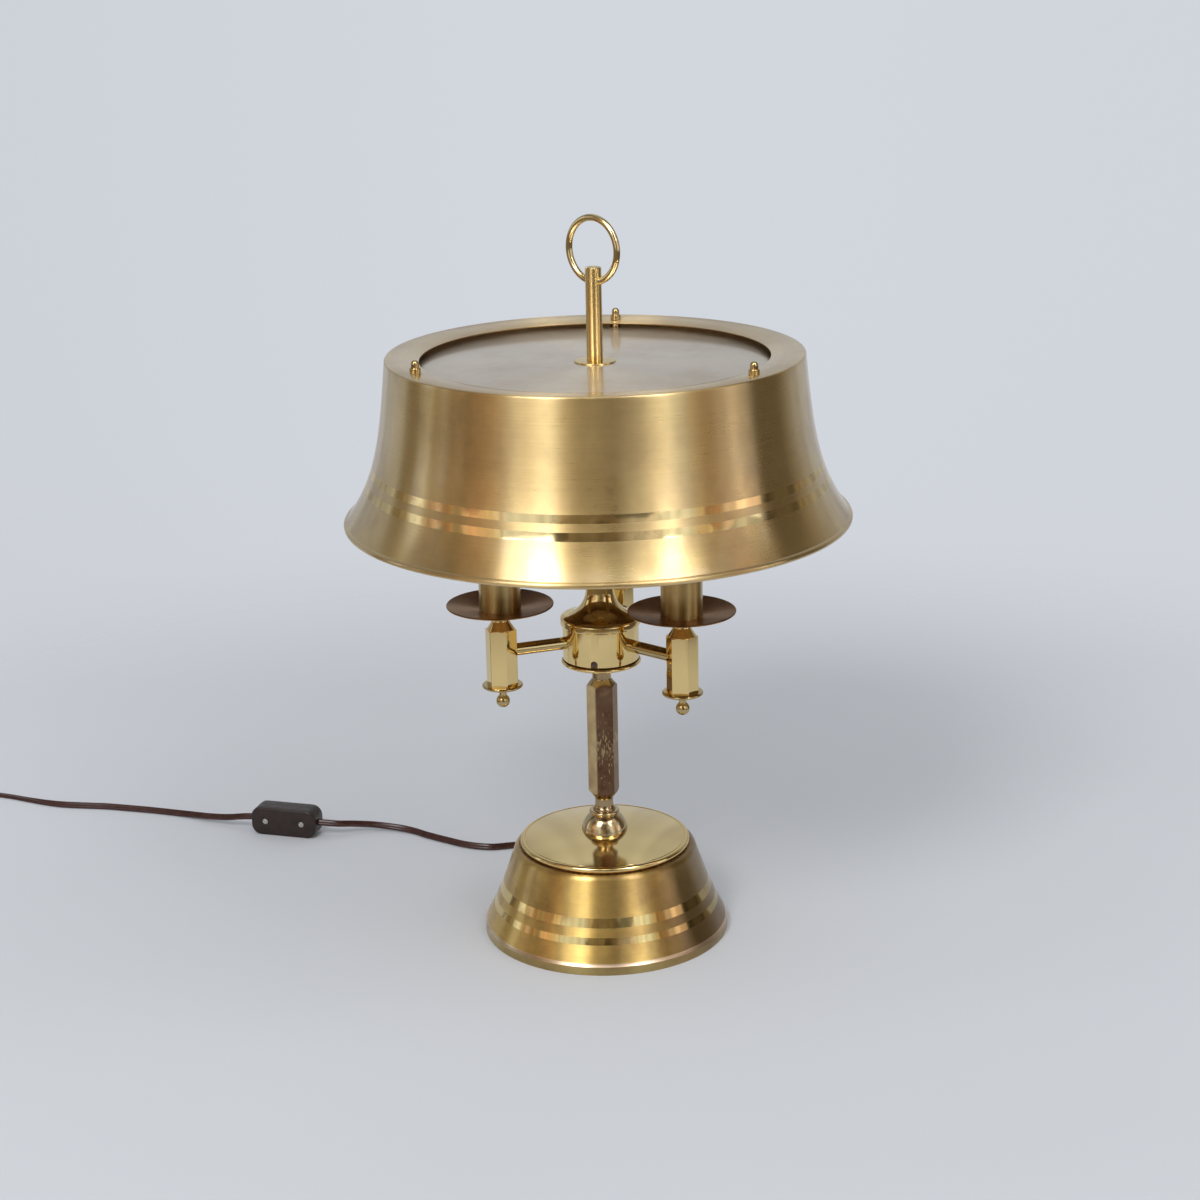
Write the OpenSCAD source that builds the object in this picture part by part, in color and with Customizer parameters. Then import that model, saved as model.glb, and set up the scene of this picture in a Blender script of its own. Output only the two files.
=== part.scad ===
// Bouillotte table lamp: a weighted brass foot, a hexagonal stem, a hub with three fixed arms that
// carry candle-style lampholders, and a turned-down metal shade clamped on top by a ring finial.
// The origin is the middle of the foot's underside, +Z is up and the lamp's axis is the Z axis.

/* [Base] */
// Diameter of the foot at the table
base_d = 200; // [180:1:220]
// Height of the spun shell of the foot
base_h = 72.8; // [68:0.2:78]
// Diameter of the polished cap on the foot
cap_d = 138.4; // [130:0.2:140]

/* [Stem] */
// Width of the hexagonal brass bar across its flats
hex_af = 22; // [20:0.5:24]
// Height at which the hexagonal part of the stem begins
stem_hex_z0 = 118.8; // [114:0.2:124]
// Height at which the hexagonal part of the stem ends
stem_hex_z1 = 208.2; // [200:0.2:212]
// Turn of the stem's flats about the axis, in degrees
stem_turn = 10.5; // [0:0.5:60]

/* [Arms] */
// Distance from the lamp's axis to each candle's axis
arm_reach = 83; // [80:0.5:86]
// Direction of the first arm, in degrees from +X
arm_angle = 79.3; // [70:0.1:90]
// Height of the arm tubes' centre line
arm_z = 247.5; // [246:0.1:249]
// Outside diameter of an arm tube
arm_d = 10; // [9:0.1:10]

/* [Candles] */
// Diameter of a drip dish
dish_d = 84; // [70:1:90]
// Diameter of a candle sleeve
sleeve_d = 32.6; // [32:0.1:34]
// Height of a candle sleeve
sleeve_h = 80; // [70:1:82]

/* [Shade] */
// Radius of the shade's wall just under its top edge
shade_top_r = 162.2; // [160:0.1:165]
// Radius of the shade's wall at its lower edge
shade_foot_r = 195.5; // [192:0.1:198]
// Radius of the opening in the shade's top
shade_eye_r = 135.3; // [130:0.1:138]
// Direction of the first shade stud, in degrees from +X
stud_angle = 83; // [0:1:120]

/* [Finial] */
// Diameter of the finial post
post_d = 12.6; // [12.4:0.1:14]
// Outside diameter of the ring
ring_d = 54; // [48:1:60]
// Wire thickness of the ring
ring_wire = 5.3; // [4.5:0.1:6]
// Direction of the ring's plane, in degrees from +X
ring_turn = -42; // [-90:1:90]

/* [Hidden] */
$fn = 96;

// sheet, thread and fit sizes that the whole lamp shares
sheet = 1.2;
thread_r = 5;
fit = 0.05;
bore_r = thread_r + fit;
tube_bore_r = 3.6;
through = 600;
nut_af = 14;
nut_h = 4;

// foot
base_r = base_d / 2;
foot_h = 7;
felt_h = 1.6;
plate_h = 1.2;
weight_r = 86;
weight_h = 16;
weight_z = felt_h + plate_h;
base_top_r = 74;
base_flare_r = base_r - 0.8;
base_shoulder = 2.8;
base_lean = 0.335;
base_flare = base_flare_r - base_top_r - base_lean * (base_h - base_shoulder - foot_h - 1);
cap_r = cap_d / 2;
cap_edge = 2.5;
cap_top = base_h + 2 * cap_edge + 0.2;

// stem, from the cap upwards
hex_r = hex_af / sqrt(3);
ball_r = 18.8;
ball_z = 83.2;
collar_r = 12.4;
collar_z = 98.4;
collar_h = 3.2;
stem_z = collar_z + collar_h;
stem_neck_r = 7.6;
hub_z = 228.2;

// hub
hub_r = 30.5;
hub_plate_r = 32;
hub_plate_h = 3;
hub_gap = 0.6;
cup_z = hub_z + hub_plate_h + hub_gap;
cup_wall = 1.5;
cup_top = 260.4;
spigot_r = 28.6;
screw_z = cup_z + 3.6;
bell_rim_r = 32.1;
bell_neck_r = 11.2;
bell_neck_z = 290;
bell_top = 310;

// upper rod, shade seat and finial
seat_r = 20;
seat_h = 3;
plate_z = 470.8;
shade_plate_h = 1.2;
seat_z = plate_z - seat_h;
shade_plate_r = 154;
washer_z = plate_z + shade_plate_h;
washer_r = 16.2;
washer_h = 1;
post_z = washer_z + washer_h;
post_h = 72;
ring_mean_r = (ring_d - ring_wire) / 2;
ring_z = 558.2;
tube_z = 10;
tube_top = 482;

// shade
shade_wall = 0.8;
shade_foot_z = 354;
shade_wall_z = 353;
shade_top_z = 477.4;
shade_lean = 0.105;
shade_curl = 3.75;
shade_flare = shade_foot_r - shade_top_r - shade_lean * (shade_top_z - shade_foot_z);
rim_r = 2.3;
rim_at = [shade_foot_r + 1.2, 350.5];
eye_z = 476.6;
flange_rise = 2.4;
stud_r = 146;

// candles
flange_z = 218.2;
flange_h = 2.5;
flange_r = 16.2;
holder_z = flange_z + flange_h;
holder_top = 266;
dish_z = 282;
dish_rim_z = 286.3;
sleeve_z = dish_z + 1;
socket_z = sleeve_z + 1 + nut_h + 1;
socket_h = 63;
bulb_z = 322.5;
bulb_neck = 30;
ARMS = [arm_angle, arm_angle + 120, arm_angle + 240];
ball_nut_r = 5.5;
ball_nut_z = 206.4;

// cord, a flat two-core lead; its route runs over the table from the foot to the switch and the plug
cord_w = 6.2;
cord_t = 3.2;
cord_sides = 8;
exit_angle = 96;
exit_z = 10;
relief_end = 123;
switch_at = [-289, 206.5, 13];
switch_turn = -16;
switch_l = 62;
switch_w = 26;
switch_t = 20;
coil_at = [-632, 288];
coil_in = 23.6;
coil_out = 43.2;
coil_h = 6.8;
plug_at = [-673, 240, 6.8];
plug_l = 36;
plug_tail = 16;
exit_dir = [cos(exit_angle), sin(exit_angle), 0];
lamp_route = concat([exit_dir * relief_end + [0, 0, exit_z]], [
    [-14, 133, 9.5], [-16, 143, 7.5], [-22, 152, 4.8], [-32, 159, 2.6], [-45, 162, 1.6],
    [-62, 162, 1.6], [-82, 160, 1.6], [-102, 157, 1.6], [-123, 163, 1.6], [-141, 174, 1.6],
    [-160, 187, 1.6], [-171, 196, 1.6], [-183, 202, 2.4], [-198, 205, 4], [-213, 205, 6.5],
    [-228, 201, 9.5], [-243, 196, 12]
], [switch_end(1)]);
wall_route = concat([switch_end(-1)], [
    [-331, 218, 12], [-347, 225, 8.6], [-366, 236, 4.8], [-383, 246, 2.6], [-404, 255, 1.6],
    [-426, 262, 1.6], [-448, 268, 1.6], [-468, 273, 1.6], [-488, 276, 1.6], [-510, 280, 1.6],
    [-528, 287, 1.6], [-546, 296, 1.6], [-564, 305, 1.6], [-582, 312, 1.6], [-600, 319, 1.6],
    [-618, 325, 1.6]
]);
plug_route = [
    [-671.5, 289, 5], [-672.5, 278, 5], [-673, 268, 5.8], plug_at + [0, plug_tail, 0]
];

function switch_end(side) = switch_at + side * switch_l / 2 * [cos(switch_turn), sin(switch_turn), 0];

// ---------------------------------------------------------------- helpers

// A hexagonal bar standing at z0, with one flat facing +X
module hex_bar(af, z0, h) {
    translate([0, 0, z0]) rotate([0, 0, 30]) cylinder(r = af / sqrt(3), h = h, $fn = 6);
}

// A round bore through everything
module bore(r = bore_r) {
    translate([0, 0, -1]) cylinder(r = r, h = through);
}

// A disc with a fully rounded edge
module round_disc(r, z, h) {
    rotate_extrude() {
        translate([0, z]) square([r - h / 2, h]);
        translate([r - h / 2, z + h / 2]) circle(d = h, $fn = 48);
    }
}

// A hexagonal lock nut standing at z
module lock_nut(z) {
    difference() {
        hex_bar(nut_af, z, nut_h);
        bore();
    }
}

// Places its children on the axis of the candle in direction a
module at_candle(a) {
    rotate([0, 0, a]) translate([arm_reach, 0, 0]) children();
}

// Points of an arc about [x, y]
function arc(x, y, rx, ry, a0, a1, n) =
    [for (i = [0:n]) let (a = a0 + (a1 - a0) * i / n) [x + rx * cos(a), y + ry * sin(a)]];

// A list turned end for end
function back(list) = [for (i = [len(list) - 1:-1:0]) list[i]];

// One ring of the flat lead's outline, square to the route at point i
function lead_ring(route, i) =
    let (a = route[max(i - 1, 0)])
    let (b = route[min(i + 1, len(route) - 1)])
    let (along = atan2(b[1] - a[1], b[0] - a[0]))
    [for (k = [0:cord_sides - 1])
        let (t = 360 * (k + 0.5) / cord_sides)
        route[i] + [-sin(along) * cord_w / 2 * cos(t), cos(along) * cord_w / 2 * cos(t),
                    cord_t / 2 * sin(t)]];

// The flat lead swept along a route as one closed tube
module lead(route) {
    n = len(route);
    s = cord_sides;
    points = [for (i = [0:n - 1]) each lead_ring(route, i)];
    sides = [for (i = [0:n - 2]) for (k = [0:s - 1])
        [i * s + k, i * s + (k + 1) % s, (i + 1) * s + (k + 1) % s, (i + 1) * s + k]];
    polyhedron(points, concat([[for (k = [s - 1:-1:0]) k]], sides, [[for (k = [0:s - 1]) (n - 1) * s + k]]));
}

// A round wire along a list of points, joined by slightly larger balls
module wire(points, r) {
    for (i = [0:len(points) - 2]) {
        d = points[i + 1] - points[i];
        translate(points[i]) rotate([0, acos(d[2] / norm(d)), atan2(d[1], d[0])]) cylinder(r = r, h = norm(d));
        if (i > 0) translate(points[i]) sphere(r = r * 1.05);
    }
}

// ---------------------------------------------------------------- foot

// Radius of the shell's outside at height z
function base_wall(z) =
    let (drop = base_h - base_shoulder - z)
    let (full = base_h - base_shoulder - foot_h - 1)
    base_top_r + base_lean * drop + base_flare * pow(drop / full, 3);

// Outline points of the shell's flared wall, set in by a wall thickness
function base_side(inset) =
    [for (i = [0:14]) let (z = foot_h + 1 + (base_h - base_shoulder - foot_h - 1) * i / 14)
        [base_wall(z) - inset, z]];

// Spun brass shell of the foot, with a short upright rim and a flat top
module base_shell() {
    outside = concat([[base_r, 0], [base_r, foot_h]], base_side(0),
        arc(base_top_r - base_shoulder, base_h - base_shoulder, base_shoulder, base_shoulder, 15, 90, 5),
        [[bore_r, base_h]]);
    inside = concat([[base_r - sheet, 0], [base_r - sheet, foot_h - 0.5]], base_side(sheet * 1.05),
        [[base_top_r - base_shoulder - 0.5, base_h - sheet], [bore_r, base_h - sheet]]);
    color("darkgoldenrod") difference() {
        rotate_extrude() polygon(concat(outside, back(inside)));
        rotate([0, 0, exit_angle]) translate([base_r - 20, 0, exit_z]) rotate([0, 90, 0]) cylinder(r = 4.55, h = 30);
    }
}

// Steel closing plate inside the rim
module base_plate() {
    color("dimgray") translate([0, 0, felt_h]) cylinder(r = base_r - sheet - 0.2, h = plate_h);
}

// Felt disc glued under the closing plate
module base_felt() {
    color("darkgreen") cylinder(r = base_r - sheet - 0.5, h = felt_h);
}

// Cast iron ballast, with a pocket for the tube's nut and a channel for the lead
module base_weight() {
    color("dimgray") difference() {
        translate([0, 0, weight_z]) cylinder(r = weight_r, h = weight_h);
        bore();
        cylinder(r = 14, h = tube_z + nut_h + 0.8);
        rotate([0, 0, exit_angle]) translate([0, -5, 0]) cube([weight_r + 10, 10, 14]);
    }
}

// Polished cap with a rolled edge that covers the top of the foot
module base_cap() {
    color("gold") difference() {
        union() {
            rotate_extrude() {
                translate([0, base_h]) square([cap_r - cap_edge, cap_top - base_h]);
                translate([cap_r - cap_edge, base_h + cap_edge]) circle(r = cap_edge, $fn = 48);
                translate([cap_r - 2 * cap_edge, cap_top - cap_edge]) square([cap_edge, cap_edge * 0.9]);
            }
        }
        translate([0, 0, base_h - 1]) cylinder(r = cap_r - 2 * cap_edge - 1, h = cap_top - base_h - 0.6);
        bore();
    }
}

// ---------------------------------------------------------------- stem

// Ball with flattened poles between the cap and the collar
module stem_ball() {
    color("gold") difference() {
        translate([0, 0, ball_z]) sphere(r = ball_r);
        translate([-50, -50, cap_top - 50]) cube([100, 100, 50]);
        translate([-50, -50, collar_z]) cube([100, 100, 50]);
        bore();
    }
}

// Turned collar ring on the ball
module stem_collar() {
    color("gold") difference() {
        round_disc(collar_r, collar_z, collar_h);
        bore();
    }
}

// Hexagonal brass bar with turned necks at both ends
module stem() {
    outline = concat([[0, stem_z], [stem_neck_r + 1.6, stem_z]],
        arc(stem_neck_r + 4.6, stem_z + 5.2, 4.8, 5.2, 230, 180, 4),
        [[stem_neck_r - 0.2, 111.9], [hex_r + 0.1, stem_hex_z0 + 0.4], [hex_r + 0.1, stem_hex_z1 - 0.4]],
        [[stem_neck_r, stem_hex_z1 + 6.1], [stem_neck_r, hub_z], [0, hub_z]]);
    color("saddlebrown") difference() {
        intersection() {
            rotate([0, 0, stem_turn - 30]) hex_bar(hex_af, stem_z, hub_z - stem_z);
            rotate_extrude() polygon(outline);
        }
        bore();
    }
}

// Long threaded tube that clamps the whole lamp together, slotted in the hub for the wires
module centre_tube() {
    color("silver") difference() {
        translate([0, 0, tube_z]) cylinder(r = thread_r, h = tube_top - tube_z);
        bore(tube_bore_r);
        rotate([0, 0, arm_angle - 60]) translate([0, -3, cup_z + 2]) cube([20, 6, 18]);
    }
}

// All the lamp's lock nuts: under the ballast, under the shade seat, inside the hub and on the dishes
module lock_nuts() {
    color("silver") {
        lock_nut(tube_z + 0.8);
        lock_nut(seat_z - nut_h);
        for (a = ARMS) {
            rotate([0, 0, a]) translate([23.4, 0, arm_z]) rotate([0, 90, 0]) rotate([0, 0, 30]) lock_nut(0);
            at_candle(a) lock_nut(sleeve_z);
        }
    }
}

// Inner end of the lead, from the foot's wall under the ballast and up the tube to the terminal block
module supply_lead() {
    start = exit_dir * 87.8;
    block = [cos(arm_angle - 60), sin(arm_angle - 60), 0];
    color("sienna") wire([
        start + [0, 0, exit_z], exit_dir * 70 + [0, 0, 8], exit_dir * 18 + [0, 0, 6.4],
        exit_dir * 3 + [0, 0, 8], [0, 0, 13], [0, 0, cup_z + 5], block * 4 + [0, 0, cup_z + 11],
        block * 9.9 + [0, 0, cup_z + 14]
    ], 1.5);
}

// ---------------------------------------------------------------- hub

// Turned plate that closes the hub from below, with a spigot inside the cup
module hub_plate() {
    color("gold") difference() {
        union() {
            round_disc(hub_plate_r, hub_z, hub_plate_h);
            translate([0, 0, hub_z]) cylinder(r = spigot_r, h = hub_plate_h + 7);
        }
        translate([0, 0, hub_z + hub_plate_h - 0.2]) cylinder(r = spigot_r - 3, h = 20);
        bore();
        for (a = ARMS) rotate([0, 0, a - 60]) translate([10, 0, screw_z]) rotate([0, 90, 0]) cylinder(r = 1.55, h = 40);
    }
}

// Three small screws that hold the cup on the spigot
module hub_screws() {
    color("dimgray") for (a = ARMS) rotate([0, 0, a - 60]) translate([0, 0, screw_z]) rotate([0, 90, 0]) {
        translate([0, 0, 24]) cylinder(r = 1.5, h = 5);
        difference() {
            translate([0, 0, spigot_r]) cylinder(r = 2.3, h = 1.6);
            translate([-3, -0.3, spigot_r + 1]) cube([6, 0.6, 3]);
        }
    }
}

// Drawn brass cup of the hub, with holes for the arms and notches over the screws
module hub_cup() {
    color("gold") difference() {
        translate([0, 0, cup_z]) cylinder(r = hub_r, h = cup_top - cup_z);
        translate([0, 0, cup_z - 1]) cylinder(r = hub_r - cup_wall, h = cup_top - cup_z + 1 - cup_wall);
        bore();
        for (a = ARMS) {
            rotate([0, 0, a]) translate([10, 0, arm_z]) rotate([0, 90, 0]) cylinder(r = arm_d / 2 + fit, h = 40);
            rotate([0, 0, a - 60]) translate([20, 0, screw_z]) {
                rotate([0, 90, 0]) cylinder(r = 2.7, h = 20);
                translate([0, -2.7, -6]) cube([20, 5.4, 6]);
            }
        }
    }
}

// Trumpet-shaped cover over the hub, drawn from sheet
module hub_bell() {
    flare = 19;
    fall = 22;
    outside = concat([[bore_r, bell_top], [bell_neck_r - 1.2, bell_top]],
        [for (a = [0:7.5:90]) [bell_neck_r + flare * (1 - cos(a)), bell_neck_z - fall * sin(a)]],
        arc(bell_rim_r - 2.6, 264.6, 2.6, 2.9, 60, 0, 4), [[bell_rim_r, 261.2], [bell_rim_r - 0.6, cup_top]]);
    inside = concat([[bell_rim_r - 2.2, cup_top]],
        [for (a = [82.5:-7.5:0]) [bell_neck_r - 1.6 + flare * (1 - cos(a)), bell_neck_z - 1.6 - fall * sin(a)]],
        [[bell_neck_r - 2, bell_top - 4], [bore_r, bell_top - 4]]);
    color("gold") rotate_extrude() polygon(concat(outside, inside));
}

// Ceramic terminal block in the hub, where the supply meets the three arms' wires
module terminal_block() {
    color("ivory") rotate([0, 0, arm_angle - 60]) difference() {
        translate([10, -9, cup_z + 7.2]) cube([8, 18, 11]);
        for (y = [-5, 0, 5]) translate([14, y, cup_z + 14]) cylinder(r = 1.4, h = 10);
    }
}

// Brass sleeve over the threaded tube inside the shade
module rod_sleeve() {
    color("gold") difference() {
        translate([0, 0, bell_top]) cylinder(r = 6.3, h = seat_z - nut_h - bell_top);
        bore();
    }
}

// Round seat that carries the shade's plate
module shade_seat() {
    color("gold") difference() {
        translate([0, 0, seat_z]) cylinder(r = seat_r, h = seat_h);
        bore();
    }
}

// ---------------------------------------------------------------- arms and candles

// Straight brass tube from inside the hub into a candle holder
module arm(a) {
    color("gold") rotate([0, 0, a]) translate([22, 0, arm_z]) rotate([0, 90, 0]) difference() {
        cylinder(r = arm_d / 2, h = arm_reach - 5.6 - 22);
        translate([0, 0, -1]) cylinder(r = arm_d / 2 - 1.1, h = 60);
    }
}

// The wires inside the three arms, up to the lampholders
module arm_leads() {
    color("white") for (a = ARMS) rotate([0, 0, a]) wire([
        [20.5, 0, arm_z], [arm_reach - 5, 0, arm_z], [arm_reach, 0, arm_z + 5], [arm_reach, 0, socket_z + 8.4]
    ], 1.3);
}

// Hexagonal candle holder turned to a cone and a neck at its top
module holder(a) {
    outline = [
        [0, holder_z], [hex_r + 0.1, holder_z], [hex_r + 0.1, holder_top], [hex_af / 2 - 0.1, holder_top],
        [hex_af / 2 - 0.1, holder_top + 0.5], [6.5, holder_top + 7.4], [6.5, dish_z], [0, dish_z]
    ];
    color("gold") at_candle(a) difference() {
        intersection() {
            hex_bar(hex_af, holder_z, dish_z - holder_z);
            rotate_extrude() polygon(outline);
        }
        bore();
        translate([-40, 0, arm_z]) rotate([0, 90, 0]) cylinder(r = arm_d / 2 + fit, h = 40);
    }
}

// Thin discs under the holders
module holder_discs() {
    color("gold") for (a = ARMS) at_candle(a) difference() {
        round_disc(flange_r, flange_z, flange_h);
        bore(3.05);
    }
}

// Ball nuts that close the holders from below, each with its threaded shank
module ball_nuts() {
    color("gold") for (a = ARMS) at_candle(a) {
        translate([0, 0, ball_nut_z]) sphere(r = ball_nut_r);
        translate([0, 0, ball_nut_z + 3]) cylinder(r = 3, h = 28);
        translate([0, 0, holder_z]) cylinder(r = thread_r, h = 8);
    }
}

// Short threaded tubes that join holder, dish and lampholder
module nipples() {
    color("silver") for (a = ARMS) at_candle(a) difference() {
        translate([0, 0, arm_z + 6.5]) cylinder(r = thread_r, h = socket_z + 8 - arm_z - 6.5);
        bore(tube_bore_r);
    }
}

// Shallow drip dish, flat where it is clamped
module dish(a) {
    rise = dish_rim_z - dish_z;
    color("saddlebrown") at_candle(a) rotate_extrude() polygon([
        [bore_r, dish_z], [16.8, dish_z], [dish_d / 2, dish_z + rise - 0.4], [dish_d / 2, dish_z + rise + 0.5],
        [dish_d / 2 - 0.8, dish_z + rise + 0.5], [16.6, dish_z + 1], [bore_r, dish_z + 1]
    ]);
}

// Brass candle sleeve standing on the dish
module sleeve(a) {
    color("darkgoldenrod") at_candle(a) difference() {
        translate([0, 0, sleeve_z]) cylinder(d = sleeve_d, h = sleeve_h);
        translate([0, 0, sleeve_z - 1]) cylinder(d = sleeve_d - 1.8, h = sleeve_h + 2);
    }
}

// Moulded lampholder on the nipple
module socket(a) {
    color("dimgray") at_candle(a) difference() {
        union() {
            translate([0, 0, socket_z]) cylinder(r = 9, h = 10);
            translate([0, 0, socket_z + 8]) cylinder(r = 13.8, h = socket_h - 8);
        }
        translate([0, 0, socket_z - 1]) cylinder(r = bore_r, h = 10);
        translate([0, 0, bulb_z]) cylinder(r = 7.2, h = 60);
    }
}

// Screw caps of the bulbs
module bulb_caps() {
    color("silver") for (a = ARMS) at_candle(a) translate([0, 0, bulb_z]) {
        cylinder(r = 3, h = 2);
        translate([0, 0, 1.5]) cylinder(r = 6.95, h = 24);
        translate([0, 0, 25.5]) cylinder(r = 7.1, h = bulb_neck - 25.5);
    }
}

// Candle-shaped glass bulb, open at its neck inside the cap
module bulb(a) {
    tall = 69.5;
    half = [for (i = [0:18]) let (t = i / 18)
        [6.9 + 10.6 * pow(sin(180 * pow(t, 0.78)), 1.1) - 6.9 * pow(t, 5), bulb_neck + tall * t]];
    wall = [for (i = [0:17]) [max(half[i][0] - 0.8, 0.4), half[i][1] - 0.8 * pow(i / 17, 3)]];
    color("whitesmoke", 0.5) at_candle(a) translate([0, 0, bulb_z]) rotate_extrude()
        polygon(concat(half, [[0, bulb_neck + tall - 1]], back(wall)));
}

// ---------------------------------------------------------------- shade

// Radius of the shade's outside at height z
function shade_side(z) =
    let (drop = shade_top_z - z)
    shade_top_r + shade_lean * drop + shade_flare * pow(drop / (shade_top_z - shade_foot_z), shade_curl);

// Height of the top flange's upper face at radius r
function flange_at(r) = eye_z + flange_rise * (r - shade_eye_r) / (shade_top_r - 1.4 - shade_eye_r);

// Spun shade: sloping top flange, nearly straight wall, trumpet flare and rolled lower rim
module shade_shell() {
    steps = 26;
    drop = shade_top_z - shade_wall_z;
    outside = [for (i = [0:steps]) let (z = shade_top_z - drop * i / steps) [shade_side(z), z]];
    inside = [for (i = [0:steps]) let (z = shade_top_z - 1 - (drop - 1) * i / steps)
        [shade_side(z) - shade_wall * 1.04, z]];
    edge = arc(shade_top_r - 1.4, flange_at(shade_top_r - 1.4) - 1.6, 1.4, 1.6, 80, 10, 4);
    rim = arc(rim_at[0], rim_at[1], rim_r, rim_r, 60, -240, 15);
    color("darkgoldenrod") difference() {
        rotate_extrude() polygon(concat([[shade_eye_r, flange_at(shade_eye_r) - shade_wall],
            [shade_eye_r, flange_at(shade_eye_r)]], edge, outside, rim, back(inside),
            [[shade_top_r - 2.2, flange_at(shade_top_r - 2) - shade_wall]]));
        for (i = [0:2]) rotate([0, 0, stud_angle + 120 * i]) translate([stud_r, 0, plate_z]) cylinder(r = 1.7, h = 20);
    }
}

// Flat plate that hangs under the shade's opening and leaves an air gap
module shade_plate() {
    color("tan") difference() {
        translate([0, 0, plate_z]) cylinder(r = shade_plate_r, h = shade_plate_h);
        bore(thread_r + 0.4);
        for (i = [0:2]) rotate([0, 0, stud_angle + 120 * i]) translate([stud_r, 0, plate_z - 5]) cylinder(r = 1.7, h = 20);
    }
}

// Three screws from below through the plate, the spacers and the flange
module shade_studs() {
    color("silver") for (i = [0:2]) rotate([0, 0, stud_angle + 120 * i]) translate([stud_r, 0, 0]) {
        translate([0, 0, plate_z - 2]) cylinder(r = 3, h = 2);
        translate([0, 0, plate_z - 2]) cylinder(r = 1.5, h = 13.5);
    }
}

// Space above or below the sloping flange, for seats that fit its slope
module flange_side(up) {
    z = up ? 500 : 460;
    skin = up ? -shade_wall : 0;
    rotate_extrude() polygon([
        [shade_eye_r, z], [shade_eye_r, flange_at(shade_eye_r) + skin],
        [shade_top_r, flange_at(shade_top_r) + skin], [shade_top_r, z]
    ]);
}

// Three spacer tubes between the plate and the flange
module shade_spacers() {
    color("gold") difference() {
        for (i = [0:2]) rotate([0, 0, stud_angle + 120 * i]) translate([stud_r, 0, plate_z + shade_plate_h]) difference() {
            cylinder(r = 4, h = 8);
            translate([0, 0, -1]) cylinder(r = 1.55, h = 12);
        }
        flange_side(true);
    }
}

// Three domed nuts on the flange
module shade_nuts() {
    seat = flange_at(stud_r) - 1;
    color("gold") difference() {
        for (i = [0:2]) rotate([0, 0, stud_angle + 120 * i]) translate([stud_r, 0, seat]) difference() {
            union() {
                cylinder(r = 4.2, h = 4.8);
                cylinder(r = 3.1, h = 7.6);
                translate([0, 0, 7.6]) sphere(r = 3.1);
            }
            translate([0, 0, -1]) cylinder(r = 1.55, h = 8);
        }
        flange_side(false);
    }
}

// ---------------------------------------------------------------- finial

// The ring's solid, at a given wire thickness
module ring_solid(wire_d) {
    translate([0, 0, ring_z]) rotate([90, 0, ring_turn]) rotate_extrude() translate([ring_mean_r, 0]) circle(d = wire_d);
}

// Thin washer under the post
module finial_washer() {
    color("gold") difference() {
        translate([0, 0, washer_z]) cylinder(r = washer_r, h = washer_h);
        bore(thread_r + 0.4);
    }
}

// Post that screws down on the tube and clamps the shade
module finial_post() {
    color("gold") difference() {
        union() {
            translate([0, 0, post_z]) cylinder(d = post_d, h = post_h - 0.8);
            rotate_extrude() polygon([[0, post_z + post_h - 1], [post_d / 2, post_z + post_h - 1],
                [post_d / 2, post_z + post_h - 0.8], [post_d / 2 - 0.8, post_z + post_h], [0, post_z + post_h]]);
        }
        translate([0, 0, post_z - 1]) cylinder(r = bore_r, h = tube_top - post_z + 2);
        ring_solid(ring_wire + 0.1);
    }
}

// Lifting ring, brazed in the post's cross hole
module finial_ring() {
    color("gold") ring_solid(ring_wire);
}

// ---------------------------------------------------------------- cord, switch and plug

// Tapered strain relief in the foot's wall
module cord_relief() {
    color("saddlebrown") rotate([0, 0, exit_angle]) translate([0, 0, exit_z]) rotate([0, 90, 0]) rotate_extrude()
        polygon([
            [0, 88], [6.2, 88], [6.2, 92], [4.5, 92], [4.5, 101], [6.4, 101], [6.4, 104],
            [4.2, relief_end], [0, relief_end]
        ]);
}

module lamp_lead() {
    color("sienna") lead(lamp_route);
}

module wall_lead() {
    color("sienna") lead(wall_route);
}

module plug_lead() {
    color("sienna") lead(plug_route);
}

// The rest of the lead, wound in a round coil
module cord_coil() {
    color("sienna") translate([coil_at[0], coil_at[1], 0]) difference() {
        cylinder(r = coil_out, h = coil_h);
        translate([0, 0, -1]) cylinder(r = coil_in, h = coil_h + 2);
    }
}

// Flat two-pin plug, pins towards -Y, with a tapered tail
module plug_body() {
    color("saddlebrown") translate(plug_at) {
        translate([0, 0, -6.8]) linear_extrude(13.6) polygon([
            [-6, 0], [-11, -11], [-13.2, -24], [-13.2, 2 - plug_l], [-10, -plug_l],
            [10, -plug_l], [13.2, 2 - plug_l], [13.2, -24], [11, -11], [6, 0]
        ]);
        rotate([-90, 0, 0]) rotate_extrude() polygon([[0, -2], [5, -2], [4, plug_tail], [0, plug_tail]]);
    }
}

// The plug's two pins
module plug_pins() {
    color("silver") for (x = [-9.3, 9.3]) translate(plug_at + [x, -plug_l, 0]) rotate([90, 0, 0]) {
        cylinder(r = 2, h = 18);
        translate([0, 0, 18]) cylinder(r = 1.4, h = 1);
    }
}

// Places its children in the switch: X along the cord, -Y out of the screw face, Z across
module at_switch() {
    translate(switch_at) rotate([0, 0, switch_turn]) children();
}

// The switch's outline, its flat edges standing on the table
module switch_outline(inset) {
    r = 9;
    x = switch_l / 2 - inset;
    z = switch_w / 2 - inset;
    square([2 * (x - r), 2 * z], center = true);
    square([2 * x, 2 * (z - r)], center = true);
    for (u = [-1, 1]) for (v = [-1, 1]) translate([u * (x - r), v * (z - r)]) circle(r = r, $fn = 48);
}

// A slab of the switch's outline between two depths
module switch_slab(y0, y1, inset) {
    translate([0, y1, 0]) rotate([90, 0, 0]) linear_extrude(y1 - y0) switch_outline(inset);
}

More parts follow.
